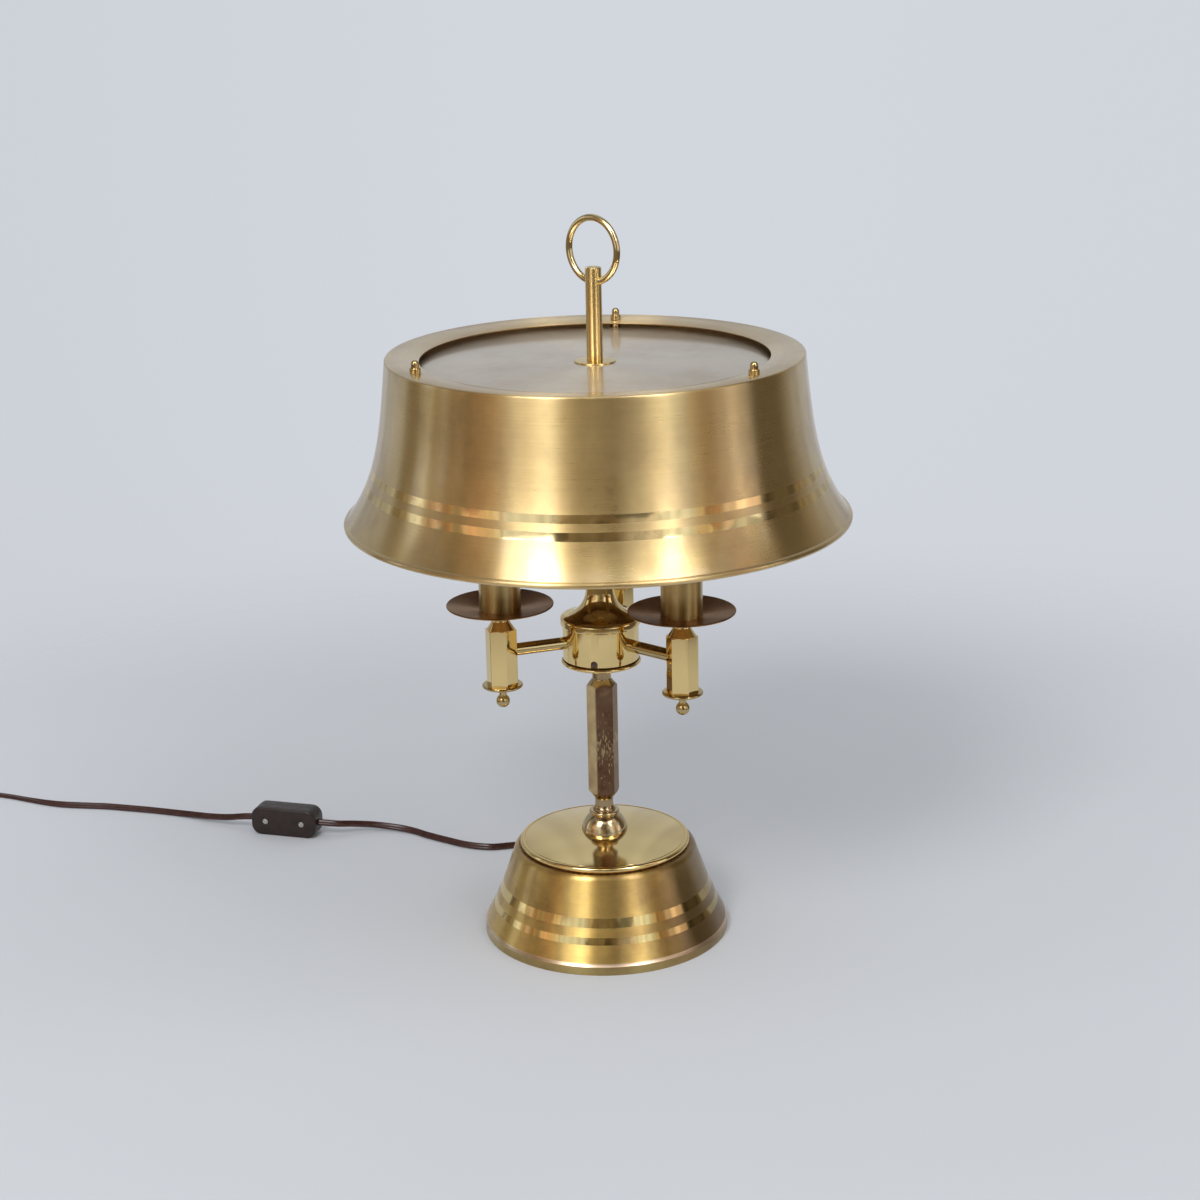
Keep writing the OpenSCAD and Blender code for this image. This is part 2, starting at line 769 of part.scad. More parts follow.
// Front half of the in-line switch, with two recessed screws
module switch_front() {
    color("saddlebrown") at_switch() difference() {
        union() {
            switch_slab(-switch_t / 2 + 1.5, 0, 0);
            switch_slab(-switch_t / 2, -switch_t / 2 + 1.5, 1.2);
        }
        switch_slab(-switch_t / 2 + 2.5, 1, 5);
        for (x = [-17.5, 17.5]) translate([x, -switch_t, 0]) rotate([-90, 0, 0]) cylinder(r = 2.8, h = switch_t / 2 + 0.8);
        for (x = [-17.5, 17.5]) translate([x, -switch_t, 0]) rotate([-90, 0, 0]) cylinder(r = 1.6, h = 30);
    }
}

// Back half of the switch, with the rocker's window and pin
module switch_back() {
    color("saddlebrown") at_switch() {
        difference() {
            union() {
                switch_slab(0, switch_t / 2 - 1.5, 0);
                switch_slab(switch_t / 2 - 1.5, switch_t / 2, 1.2);
            }
            switch_slab(-1, switch_t / 2 - 2.5, 5);
            translate([-11, -1, -5.5]) cube([22, 20, 11]);
            for (x = [-17.5, 17.5]) translate([x, -1, 0]) rotate([-90, 0, 0]) cylinder(r = 1.55, h = 8);
        }
        translate([0, 5, -9]) cylinder(r = 1.2, h = 18, $fn = 32);
    }
}

// The switch's two screws, with slotted heads
module switch_screws() {
    color("silver") at_switch() for (x = [-17.5, 17.5]) translate([x, 0, 0]) difference() {
        rotate([90, 0, 0]) {
            translate([0, 0, -5]) cylinder(r = 1.5, h = 14.3);
            translate([0, 0, switch_t / 2 - 0.8]) cylinder(r = 2.6, h = 0.6);
        }
        rotate([0, 35, 0]) translate([-3, -switch_t / 2 - 0.2, -0.3]) cube([6, 0.6, 0.6]);
    }
}

// Rocker on its pin, rest position with one half pressed in
module switch_rocker() {
    color("black") at_switch() translate([0, 5, 0]) rotate([0, 0, -8]) difference() {
        translate([0, 0, -5]) linear_extrude(10) polygon([
            [-9.6, -1.5], [-9.6, 4.05], [0, 5.4], [9.6, 4.05], [9.6, -1.5], [3, -3], [-3, -3]
        ]);
        translate([0, 0, -10]) cylinder(r = 1.25, h = 20, $fn = 32);
    }
}

// ---------------------------------------------------------------- nodes

base_shell();
base_plate();
base_felt();
base_weight();
base_cap();
stem_ball();
stem_collar();
stem();
centre_tube();
lock_nuts();
supply_lead();
hub_plate();
hub_screws();
hub_cup();
hub_bell();
terminal_block();
rod_sleeve();
shade_seat();
arm(ARMS[0]);  // arm_back
arm(ARMS[1]);  // arm_left
arm(ARMS[2]);  // arm_right
arm_leads();
holder(ARMS[0]);  // holder_back
holder(ARMS[1]);  // holder_left
holder(ARMS[2]);  // holder_right
holder_discs();
ball_nuts();
nipples();
dish(ARMS[0]);  // dish_back
dish(ARMS[1]);  // dish_left
dish(ARMS[2]);  // dish_right
sleeve(ARMS[0]);  // sleeve_back
sleeve(ARMS[1]);  // sleeve_left
sleeve(ARMS[2]);  // sleeve_right
socket(ARMS[0]);  // socket_back
socket(ARMS[1]);  // socket_left
socket(ARMS[2]);  // socket_right
bulb_caps();
bulb(ARMS[0]);  // bulb_back
bulb(ARMS[1]);  // bulb_left
bulb(ARMS[2]);  // bulb_right
shade_shell();
shade_plate();
shade_studs();
shade_spacers();
shade_nuts();
finial_washer();
finial_post();
finial_ring();
cord_relief();
lamp_lead();
wall_lead();
cord_coil();
plug_lead();
plug_body();
plug_pins();
switch_front();
switch_back();
switch_screws();
switch_rocker();
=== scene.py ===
from math import ceil, cos, hypot, pi, radians, sin, sqrt

import bmesh
import bpy
from mathutils import Matrix, Vector


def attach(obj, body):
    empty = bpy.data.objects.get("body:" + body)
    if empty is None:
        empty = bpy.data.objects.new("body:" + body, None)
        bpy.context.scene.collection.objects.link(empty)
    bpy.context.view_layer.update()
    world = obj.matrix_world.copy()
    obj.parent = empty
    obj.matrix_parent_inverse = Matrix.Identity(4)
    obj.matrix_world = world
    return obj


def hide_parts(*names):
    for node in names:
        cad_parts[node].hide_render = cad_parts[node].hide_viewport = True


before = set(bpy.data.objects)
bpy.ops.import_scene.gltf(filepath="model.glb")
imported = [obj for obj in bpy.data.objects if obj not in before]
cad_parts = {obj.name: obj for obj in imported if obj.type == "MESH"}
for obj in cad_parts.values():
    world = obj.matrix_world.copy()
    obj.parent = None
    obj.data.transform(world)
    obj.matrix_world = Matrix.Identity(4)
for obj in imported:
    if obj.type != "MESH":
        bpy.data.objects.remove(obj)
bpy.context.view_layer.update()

scene = bpy.context.scene
MM = 0.001

# ---------------------------------------------------------------- the studio
# A still camera on a stand, a little above the shade, looks down on the lamp, which stands on a pale
# paper sweep in a dim room.
CAMERA_AT = (0, -1.79707, 0.8348)
CAMERA_DIP = 17.172
CAMERA_ROLL = -0.020825
camera_data = bpy.data.cameras.new("camera")
camera_data.lens = 71.04
camera_data.sensor_fit = "HORIZONTAL"
camera_data.sensor_width = 36
camera = bpy.data.objects.new("camera", camera_data)
camera.matrix_world = (
    Matrix.Translation(CAMERA_AT)
    @ Matrix.Rotation(radians(90 - CAMERA_DIP), 4, "X")
    @ Matrix.Rotation(CAMERA_ROLL, 4, "Z")
)
scene.collection.objects.link(camera)
scene.camera = camera
scene.view_settings.view_transform = "Standard"


def feed(tree, node, inputs):
    """Sets the inputs of a node; each is a value or another node's output."""
    for key, value in inputs.items():
        if isinstance(value, bpy.types.NodeSocket):
            tree.links.new(value, node.inputs[key])
        else:
            node.inputs[key].default_value = value


def add_node(tree, kind, inputs=None, **settings):
    """Adds a shader node and feeds it."""
    node = tree.nodes.new("ShaderNode" + kind)
    for key, value in settings.items():
        setattr(node, key, value)
    feed(tree, node, inputs or {})
    return node


def calc(tree, operation, *values):
    """One step of arithmetic in a node tree."""
    return add_node(tree, "Math", dict(enumerate(values)), operation=operation).outputs[0]


def ramp(tree, factor, stops, smooth=True):
    """A colour ramp; a stop is (place, grey level) or (place, (r, g, b))."""
    node = add_node(tree, "ValToRGB", {"Fac": factor})
    band = node.color_ramp
    band.interpolation = "EASE" if smooth else "LINEAR"
    while len(band.elements) < len(stops):
        band.elements.new(0.5)
    for element, (place, tone) in zip(band.elements, stops):
        element.position = place
        element.color = (*tone, 1) if isinstance(tone, tuple) else (tone, tone, tone, 1)
    return node.outputs["Color"]


def blended(tree, factor, low, high, how="MIX"):
    """Mixes two colours."""
    node = add_node(tree, "Mix", {"Factor": factor}, data_type="RGBA", blend_type=how)
    feed(tree, node, {key: value if isinstance(value, bpy.types.NodeSocket) else (*value, 1)
                      for key, value in ((6, low), (7, high))})
    return node.outputs[2]


def times(tree, one, other):
    """Multiplies two colours."""
    return blended(tree, 1.0, one, other, "MULTIPLY")


def spread(tree, value, low, high, to_low=0.0, to_high=1.0, how="LINEAR"):
    """Stretches what lies between two limits over another range."""
    limits = {"Value": value, "From Min": low, "From Max": high, "To Min": to_low, "To Max": to_high}
    return add_node(tree, "MapRange", limits, interpolation_type=how).outputs[0]


def grey(tree, value):
    """A grey of that level."""
    return add_node(tree, "CombineColor", {0: value, 1: value, 2: value}).outputs[0]


# The room: the pale sweep behind the lamp, paler high up, a dim room in front of it with one open side,
# and a ceiling with two bright patches. Metal mirrors it by direction, while every matt surface sees one
# even sky.
WARM = (1.0, 0.80, 0.56)
PALE = (0.97, 0.99, 1.03)
RUST = (1.0, 0.62, 0.42)
world = bpy.data.worlds.new("room")
world.use_nodes = True
world.cycles.sampling_method = "NONE"
scene.world = world
tree = world.node_tree
tree.nodes.clear()
way = add_node(tree, "SeparateXYZ", {0: add_node(tree, "TexCoord").outputs["Generated"]}).outputs
turn = calc(tree, "ARCTAN2", way[0], calc(tree, "MULTIPLY", way[1], -1.0))
turn = calc(tree, "MULTIPLY_ADD", turn, 0.5 / pi, 0.5)
lift = calc(tree, "MULTIPLY_ADD", calc(tree, "ARCSINE", way[2]), 1 / pi, 0.5)


def all_round(stops, smooth=True):
    """Colours by bearing, 0 degrees towards the camera and positive to the right. A stop is (bearing,
    grey level) or (bearing, colour, its level)."""
    placed = []
    for bearing, *look in stops:
        tone = look[0] if len(look) == 1 else tuple(part * look[1] for part in look[0])
        placed.append((0.5 + bearing / 360, tone))
    return ramp(tree, turn, placed, smooth)


def by_height(stops):
    """Grey levels by height: 0 straight down, 0.5 level and 1 straight up."""
    return ramp(tree, lift, stops)


walls = all_round([
    (-180, PALE, 0.49), (-162, PALE, 0.47), (-146, PALE, 0.34), (-122, PALE, 0.385), (-117, WARM, 0.15),
    (-107, WARM, 0.15), (-105, PALE, 0.45), (-97, PALE, 0.47), (-94, WARM, 0.30), (-86, PALE, 0.46),
    (-81, WARM, 0.28), (-73, WARM, 0.50), (-66, RUST, 0.49), (-54, WARM, 0.47), (-48, PALE, 0.52),
    (-22, PALE, 0.44), (-18, WARM, 0.27), (9, WARM, 0.165), (20, PALE, 0.54), (32, PALE, 0.74),
    (47, PALE, 0.46), (51, WARM, 0.32), (62, WARM, 0.43), (66, PALE, 0.70), (78, PALE, 1.12),
    (88, PALE, 0.54), (92, WARM, 0.13), (112, WARM, 0.11), (118, WARM, 0.24), (138, PALE, 0.38),
    (162, PALE, 0.43), (172, PALE, 0.50),
], smooth=False)
walls = times(tree, walls, by_height([
    (0.0, 0.35), (0.40, 0.66), (0.49, 0.85), (0.5, 1.0), (0.62, 0.95), (0.74, 0.7), (0.85, 0.55), (1.0, 0.5)]))
skirting = all_round([
    (-180, PALE, 0.60), (-160, PALE, 0.50), (-140, PALE, 0.40), (-128, PALE, 0.50), (-117, WARM, 0.16),
    (-60, WARM, 0.18), (0, WARM, 0.16), (60, WARM, 0.12), (88, WARM, 0.10), (116, WARM, 0.10),
    (128, PALE, 0.34), (142, PALE, 0.44), (160, PALE, 0.50), (180, PALE, 0.60),
], smooth=False)
room = blended(tree, by_height([(0.46, 0.0), (0.49, 1.0)]), skirting, walls)
ceiling = times(tree, all_round([
    (-100, 0.06), (-62, 0.40), (-48, 1.5), (-12, 1.2), (-2, 2.0), (15, 0.5), (29, 2.4), (55, 5.2),
    (63, 0.3), (110, 0.0),
]), by_height([(0.755, 0.0), (0.80, 1.0), (0.90, 1.0), (0.96, 0.3)]))
room = blended(tree, 1.0, room, ceiling, "ADD")
back_wall = times(tree, all_round([(-164, 1.0), (-140, 0.0), (140, 0.0), (164, 1.0)]),
                  by_height([(0.63, 0.0), (0.69, 0.4), (0.755, 1.0), (0.80, 1.0), (0.85, 0.0)]))
room = times(tree, room, blended(tree, back_wall, (1.0, 1.0, 1.0), (1.7, 1.7, 1.7)))

# What stands in the room: upright panels of several tones in front and to the sides, and fine streaks
# all round.
grid = add_node(tree, "CombineXYZ", {0: calc(tree, "MULTIPLY", turn, 17.0), 1: calc(tree, "MULTIPLY", lift, 8.0)})
things = add_node(tree, "TexVoronoi", {"Vector": grid.outputs[0], "Scale": 1.0, "Randomness": 0.8},
                  feature="F1", distance="CHEBYCHEV").outputs["Color"]
panels = ramp(tree, add_node(tree, "SeparateColor", {0: things}).outputs[0], [
    (0.0, (0.30, 0.27, 0.22)), (0.24, (0.62, 0.60, 0.56)), (0.44, (1.15, 1.15, 1.12)),
    (0.56, (1.45, 0.85, 0.60)), (0.64, (0.80, 0.80, 0.78)), (0.84, (1.85, 1.88, 1.90))], smooth=False)
near = times(tree, all_round([(-125, 0.0), (-115, 1.0), (90, 1.0), (100, 0.0)]),
             by_height([(0.47, 0.0), (0.50, 1.0), (0.72, 1.0), (0.78, 0.0)]))
room = times(tree, room, blended(tree, near, (1.0, 1.0, 1.0), panels))
streaks = add_node(tree, "TexNoise", {"W": calc(tree, "MULTIPLY", turn, 60.0), "Detail": 2.0, "Scale": 1.0},
                   noise_dimensions="1D").outputs["Fac"]
room = times(tree, room, grey(tree, spread(tree, streaks, 0.40, 0.60, 0.86, 1.14)))

backdrop = ramp(tree, lift, [
    (0.0, (0.62, 0.645, 0.68)), (0.40, (0.64, 0.668, 0.715)), (0.46, (0.645, 0.675, 0.730)),
    (1.0, (0.64, 0.675, 0.735))])
backdrop = times(tree, backdrop, all_round([(-180, 1.0), (-164, 0.95), (164, 0.985), (180, 1.0)]))
sight = add_node(tree, "LightPath").outputs
shown = add_node(tree, "Background", {"Color": backdrop, "Strength": 1.0}).outputs[0]
mirrored = add_node(tree, "Background", {"Color": room, "Strength": 1.0}).outputs[0]
even = add_node(tree, "Background", {"Color": (*PALE, 1), "Strength": 0.53}).outputs[0]
sheen_way = calc(tree, "MAXIMUM", sight["Is Glossy Ray"], sight["Is Transmission Ray"])
lit = add_node(tree, "MixShader", {0: sheen_way, 1: even, 2: mirrored}).outputs[0]
seen = add_node(tree, "MixShader", {0: sight["Is Camera Ray"], 1: lit, 2: shown}).outputs[0]
add_node(tree, "OutputWorld", {"Surface": seen})


# Floor: matt pale paper that runs out into the backdrop far behind the lamp. In metal it fades out sooner
# in front and to the sides, where the room's own floor begins.
def new_finish(name):
    """A new material: its node tree and its main shader."""
    finish = bpy.data.materials.new(name)
    finish.use_nodes = True
    return finish, finish.node_tree, finish.node_tree.nodes["Principled BSDF"]


def here(tree):
    """Coordinates fixed to the piece, in metres."""
    return add_node(tree, "TexCoord").outputs["Object"]


def split(tree, vector):
    """The three parts of a vector."""
    return add_node(tree, "SeparateXYZ", {0: vector}).outputs


def noise(tree, vector, scale, detail=2.0, rough=0.5):
    """Cloudy noise about 0.5."""
    inputs = {"Vector": vector, "Scale": scale, "Detail": detail, "Roughness": rough}
    return add_node(tree, "TexNoise", inputs).outputs["Fac"]


def bump(tree, height, strength, distance):
    """Fine relief for a shader's Normal."""
    return add_node(tree, "Bump", {"Height": height, "Strength": strength, "Distance": distance}).outputs[0]


FLOOR_RADIUS = 3.4
paper, tree, shader = new_finish("paper")
place = here(tree)
fibres = noise(tree, place, 900.0, 4.0)
tint = ramp(tree, noise(tree, place, 1.4, 3.0), [(0.3, (0.655, 0.672, 0.700)), (0.7, (0.675, 0.692, 0.722))])
reach = add_node(tree, "VectorMath", {0: place}, operation="LENGTH").outputs["Value"]
spot = split(tree, place)
# The paper is lighter further from the lamp and in a band across the middle: painted light.
painted_floor_light = ramp(tree, calc(tree, "MULTIPLY_ADD", spot[1], 0.5, 0.5),
           [(0.275, 0.975), (0.42, 1.03), (0.57, 1.055), (0.72, 1.03), (0.83, 0.985)])
painted_floor_light = times(tree, grey(tree, spread(tree, reach, 0.45, 1.3, 1.0, 1.14)), painted_floor_light)
feed(tree, shader, {
    "Base Color": times(tree, tint, painted_floor_light), "Roughness": 0.85, "Specular IOR Level": 0.2,
    "Normal": bump(tree, fibres, 0.08, 0.0005)})
gone = spread(tree, reach, 0.45, 1.35, how="SMOOTHERSTEP")
aside = calc(tree, "MAXIMUM", calc(tree, "MULTIPLY", spot[0], -1.0), calc(tree, "SUBTRACT", spot[0], 0.18))
beside = spread(tree, aside, 0.56, 0.78, how="SMOOTHSTEP")
before = spread(tree, spot[1], -0.6, -1.1, how="SMOOTHSTEP")
dim = calc(tree, "MAXIMUM", calc(tree, "MAXIMUM", beside, before), 0.2)
dim = calc(tree, "MULTIPLY", dim, add_node(tree, "LightPath").outputs["Is Glossy Ray"])
clear = add_node(tree, "BsdfTransparent").outputs[0]
edge = add_node(tree, "MixShader", {0: calc(tree, "MAXIMUM", gone, dim), 1: shader.outputs[0], 2: clear})
feed(tree, tree.nodes["Material Output"], {"Surface": edge.outputs[0]})
bm = bmesh.new()
bmesh.ops.create_circle(bm, cap_ends=True, segments=96, radius=FLOOR_RADIUS)
mesh = bpy.data.meshes.new("floor")
bm.to_mesh(mesh)
bm.free()
mesh.materials.append(paper)
floor = bpy.data.objects.new("floor", mesh)
scene.collection.objects.link(floor)


# Lights: high on the left a wide box with a brighter core, and on the right a narrow upright box with a
# small lamp beside it. The key light and the fill only light matt things, and three only shine on metal.
AIM = Vector((0, 0, 0.3))


def softbox(name, turn, lift, distance, width, tall, radiance, lights=True, shines=True):
    """A rectangular light that faces the lamp's middle; its radiance is that of its cloth. It can leave out the
    light it throws on matt things or the shine it makes on metal."""
    data = bpy.data.lights.new(name, "AREA")
    data.shape = "RECTANGLE"
    data.size, data.size_y = width, tall
    data.energy = radiance * pi * width * tall
    lamp = bpy.data.objects.new(name, data)
    a, e = radians(turn), radians(lift)
    away = Vector((sin(a) * cos(e), -cos(a) * cos(e), sin(e)))
    facing = away.to_track_quat("Z", "Y").to_matrix().to_4x4()
    lamp.matrix_world = Matrix.Translation(AIM + away * distance) @ facing
    lamp.visible_camera = False
    lamp.visible_diffuse = lights
    lamp.visible_glossy = shines
    scene.collection.objects.link(lamp)


softbox("main_softbox", -35, 44, 2.6, 1.05, 1.5, 3.0, lights=False)
softbox("main_lamp", -29, 45, 2.55, 0.45, 0.5, 9.0, lights=False)
softbox("key_light", -26, 41, 2.6, 0.8, 0.8, 13.2, shines=False)
softbox("side_fill", 68, 48, 2.8, 1.4, 1.4, 1.4, shines=False)
softbox("side_softbox", 37, 43, 2.6, 0.34, 1.3, 4.6)
softbox("side_lamp", 51, 49, 2.6, 0.36, 0.5, 2.6, lights=False)


# ---------------------------------------------------------------- foot
# The foot is a shell spun from sheet brass, brushed on the lathe, with two bands left bright. It is
# closed below by a steel plate with felt under it, and cast iron inside keeps the lamp standing.
BORE = 5.05
LEAD_BEARING = 96


def seasoned(tree, low, high, scale, vector, detail=3.0, rough=0.5):
    """Noise spread between two values, for stains, smudges and lines."""
    return spread(tree, noise(tree, vector, scale, detail, rough), 0.32, 0.68, low, high)


def lathe_way(tree, across, around):
    """Coordinates that change slowly round a turned piece and fast across its turning lines."""
    turned = add_node(tree, "Attribute", attribute_name="turning").outputs["Vector"]
    scales = (around, around, across)
    return add_node(tree, "VectorMath", {0: turned, 1: scales}, operation="MULTIPLY").outputs[0]


def lathe_grain(tree, shader, along):
    """Blurs the mirror image more across the turning lines than along them."""
    tangent = add_node(tree, "Tangent", direction_type="RADIAL", axis="Z").outputs[0]
    feed(tree, shader, {"Anisotropic": along, "Anisotropic Rotation": 0.25, "Tangent": tangent})


def painted_side_shade(tree, place, tone, amount):
    """Darkens a colour on the side of the foot that is turned to +X: painted shade for that side's darker
    reflections.
    """
    clouds = calc(tree, "MULTIPLY_ADD", noise(tree, place, 16.0, 5.0, 0.6), 0.02, -0.01)
    side = calc(tree, "ADD", split(tree, place)[0], clouds)
    return blended(tree, spread(tree, side, 0.032, 0.066, 0.0, amount), tone, (0.20, 0.125, 0.055))


def brushed(name, colour, stain, roughness=0.42, along=0.9, stain_from=0.5, line_tone=0.05, lacquer=0.9,
            side_shade=0.0, grooves=0.12):
    """Satin brass with fine turning lines, stains, a few scratches along the lines and, where asked, painted shade
    on one side.
    """
    finish, tree, shader = new_finish(name)
    place = here(tree)
    lines = seasoned(tree, -1.0, 1.0, 1.0, lathe_way(tree, 900.0, 1.2), 4.0, 0.7)
    spots = calc(tree, "MULTIPLY", noise(tree, place, 95.0, 3.0), 0.25)
    mark = calc(tree, "ADD", noise(tree, place, 16.0, 5.0, 0.6), spots)
    mark = spread(tree, mark, stain_from, stain_from + 0.42)
    tone = blended(tree, mark, colour, stain)
    tone = times(tree, tone, grey(tree, calc(tree, "MULTIPLY_ADD", lines, line_tone, 1.0)))
    scratch = spread(tree, noise(tree, lathe_way(tree, 1500.0, 9.0), 1.0, 1.0), 0.74, 0.80)
    tone = blended(tree, calc(tree, "MULTIPLY", scratch, 0.5), tone, (0.95, 0.78, 0.45))
    if side_shade:
        tone = painted_side_shade(tree, place, tone, side_shade)
    rough = seasoned(tree, roughness - 0.03, roughness + 0.04, 30.0, place)
    rough = calc(tree, "ADD", calc(tree, "MULTIPLY", lines, 0.03), rough)
    feed(tree, shader, {
        "Base Color": tone, "Metallic": 1.0, "Roughness": calc(tree, "MULTIPLY_ADD", mark, 0.08, rough),
        "Coat Weight": lacquer, "Coat Roughness": 0.12, "Coat IOR": 1.56,
        "Normal": bump(tree, lines, grooves, 0.00004)})
    lathe_grain(tree, shader, along)
    return finish


def polished(name, colour, stain, roughness=0.04, stain_from=0.62, haze=0.04, dented=0.04, along=0.0,
             side_shade=0.0):
    """Bright brass with finger haze, hairline scratches, coppery patches where the lacquer has gone and, where
    asked, painted shade on one side.
    """
    finish, tree, shader = new_finish(name)
    place = here(tree)
    mark = spread(tree, noise(tree, place, 42.0, 5.0, 0.62), stain_from, stain_from + 0.2)
    tone = blended(tree, mark, colour, stain)
    if side_shade:
        tone = painted_side_shade(tree, place, tone, side_shade)
    hairs = spread(tree, noise(tree, lathe_way(tree, 1100.0, 5.0), 1.0, 2.0), 0.62, 0.78)
    rough = seasoned(tree, roughness, roughness + haze, 55.0, place, 4.0)
    rough = calc(tree, "ADD", rough, calc(tree, "MULTIPLY", hairs, 0.06))
    feed(tree, shader, {
        "Base Color": tone, "Metallic": 1.0, "Roughness": calc(tree, "MULTIPLY_ADD", mark, 0.14, rough),
        "Normal": bump(tree, noise(tree, place, 110.0, 1.0), dented, 0.00012)})
    if along:
        lathe_grain(tree, shader, along)
    return finish


def put(name, bm, finishes, sharp=32):
    """Makes the object of a finished mesh, smooth except over its sharp edges."""
    for face in bm.faces:
        face.smooth = True
    mesh = bpy.data.meshes.new(name)
    bm.to_mesh(mesh)
    bm.free()
    mesh.set_sharp_from_angle(angle=radians(sharp))
    for finish in finishes:
        mesh.materials.append(finish)
    piece = bpy.data.objects.new(name, mesh)
    scene.collection.objects.link(piece)
    return piece


def arc(radius, height, across, tall, angles):
    """Points of an outline on a round of that centre and half sizes."""
    return [(radius + across * cos(radians(a)), height + tall * sin(radians(a))) for a in angles]


def turned(outline, steps, closed=True, places=(Matrix.Identity(4),), bands=()):
    """Spins an outline of (radius, height, rounding) points, in mm, about Z and sets it at each of its
    places. A band is (lowest height, highest height, which finish)."""
    bm = bmesh.new()
    corners = [bm.verts.new((p[0] * MM, 0, p[1] * MM)) for p in outline]
    for a, b in zip(corners, corners[1:] + corners[:1] if closed else corners[1:]):
        bm.edges.new((a, b))
    for corner, point in zip(corners, outline):
        if len(point) > 2:
            bmesh.ops.bevel(bm, geom=[corner], offset=point[2] * MM, offset_type="OFFSET", segments=5,
                            profile=0.5, affect="VERTICES", material=-1)
    bmesh.ops.spin(bm, geom=bm.verts[:] + bm.edges[:], cent=(0, 0, 0), axis=(0, 0, 1), dvec=(0, 0, 0),
                   angle=2 * pi, steps=steps, use_merge=True)
    bmesh.ops.remove_doubles(bm, verts=bm.verts[:], dist=1e-6)
    bmesh.ops.recalc_face_normals(bm, faces=bm.faces[:])
    layer = bm.verts.layers.float_vector.new("turning")
    for vertex in bm.verts:
        radius = hypot(vertex.co.x, vertex.co.y)
        if radius > 1e-6:
            vertex[layer] = (vertex.co.x / radius, vertex.co.y / radius, radius - 1.3 * vertex.co.z)
        else:
            vertex[layer] = (0, 0, -1.3 * vertex.co.z)
    for low, high, which in bands:
        for face in bm.faces:
            if low * MM < face.calc_center_median().z < high * MM:
                face.material_index = which
    first = bm.verts[:] + bm.edges[:] + bm.faces[:]
    for place in places[1:]:
        copy = bmesh.ops.duplicate(bm, geom=first)["geom"]
        bmesh.ops.transform(bm, matrix=place, verts=[v for v in copy if isinstance(v, bmesh.types.BMVert)])
    bmesh.ops.transform(bm, matrix=places[0], verts=[v for v in first if isinstance(v, bmesh.types.BMVert)])
    return bm


def carve(piece, operation, *tools):
    """Cuts a piece with other objects, or keeps what it shares with them, and deletes them."""
    for tool in tools:
        cut = piece.modifiers.new("cut", "BOOLEAN")
        cut.operation, cut.object, cut.solver = operation, tool, "EXACT"
    result = bpy.data.meshes.new_from_object(piece.evaluated_get(bpy.context.evaluated_depsgraph_get()))
    piece.modifiers.clear()
    piece.data = result
    result.set_sharp_from_angle(angle=radians(32))
    for tool in tools:
        bpy.data.objects.remove(tool)
    return piece


def rod(radius, length, place):
    """A plain cutting rod that starts at its place and runs along its Z, in mm."""
    outline = [(0, 0), (radius, 0), (radius, length), (0, length)]
    return put("cutter", turned(outline, 48, False, [place]), ())


def fit(piece, body, slot, *nodes):
    """Sets a finished piece on its body in place of its solids."""
    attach(piece, body)
    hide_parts(*nodes)


def dress(finish, *nodes):
    """Gives CAD nodes their finish."""
    for name in nodes:
        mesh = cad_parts[name].data
        mesh.materials.clear()
        mesh.materials.append(finish)


def shift(x, y, z):
    """A place given in mm."""
    return Matrix.Translation((x * MM, y * MM, z * MM))


def about_z(degrees):
    return Matrix.Rotation(radians(degrees), 4, "Z")


# Lays down, pointing outwards, what is turned upright; the lead leaves the foot that way.
LYING = Matrix.Rotation(pi / 2, 4, "Y")
LEAD_EXIT = about_z(LEAD_BEARING) @ shift(0, 0, 10) @ LYING


def bare_metal(name, dark, light, roughness, scale=300.0, grain=0.15, metallic=1.0):
    """Plain steel, zinc, iron or dull brass with a fine grain."""
    finish, tree, shader = new_finish(name)
    place = here(tree)
    grains = noise(tree, place, scale, 5.0, 0.65)
    feed(tree, shader, {
        "Base Color": ramp(tree, grains, [(0.3, dark), (0.7, light)]), "Metallic": metallic,
        "Roughness": seasoned(tree, roughness - 0.06, roughness + 0.08, scale * 0.2, place),
        "Normal": bump(tree, grains, grain, 0.0002)})
    return finish


# The foot's shell and its bright bands are darker on their +X side: painted shade.
foot_brass = brushed("foot_brass", (0.78, 0.535, 0.165), (0.36, 0.21, 0.08), 0.31, 1.0, 0.52, 0.05, 0.40, 0.75)
rim_brass = brushed("rim_brass", (0.52, 0.40, 0.16), (0.30, 0.19, 0.09), 0.36, 0.9, 0.5, 0.05, 0.4)
# Paler, pinker brass on the ledge above the rim: a painted highlight along the cove.
ledge_highlight_brass = brushed("ledge_highlight_brass", (0.86, 0.68, 0.46), (0.66, 0.44, 0.30), 0.30, 0.8, 0.5)
foot_band = polished("foot_band", (0.80, 0.62, 0.27), (0.55, 0.34, 0.17), 0.06, 0.55, dented=0.1, side_shade=0.6)
# Dark metal for the hidden faces in the gaps between parts: painted shade.
painted_seam_shade = bare_metal("painted_seam_shade", (0.20, 0.12, 0.06), (0.40, 0.26, 0.12), 0.45)


def foot_wall(z):
    """Radius of the shell's outside at height z: a cone that flares a little towards the table."""
    return 74 + 0.335 * (70 - z) + 4.43 * ((70 - z) / 62) ** 3


FOOT_SHEET = 1.26
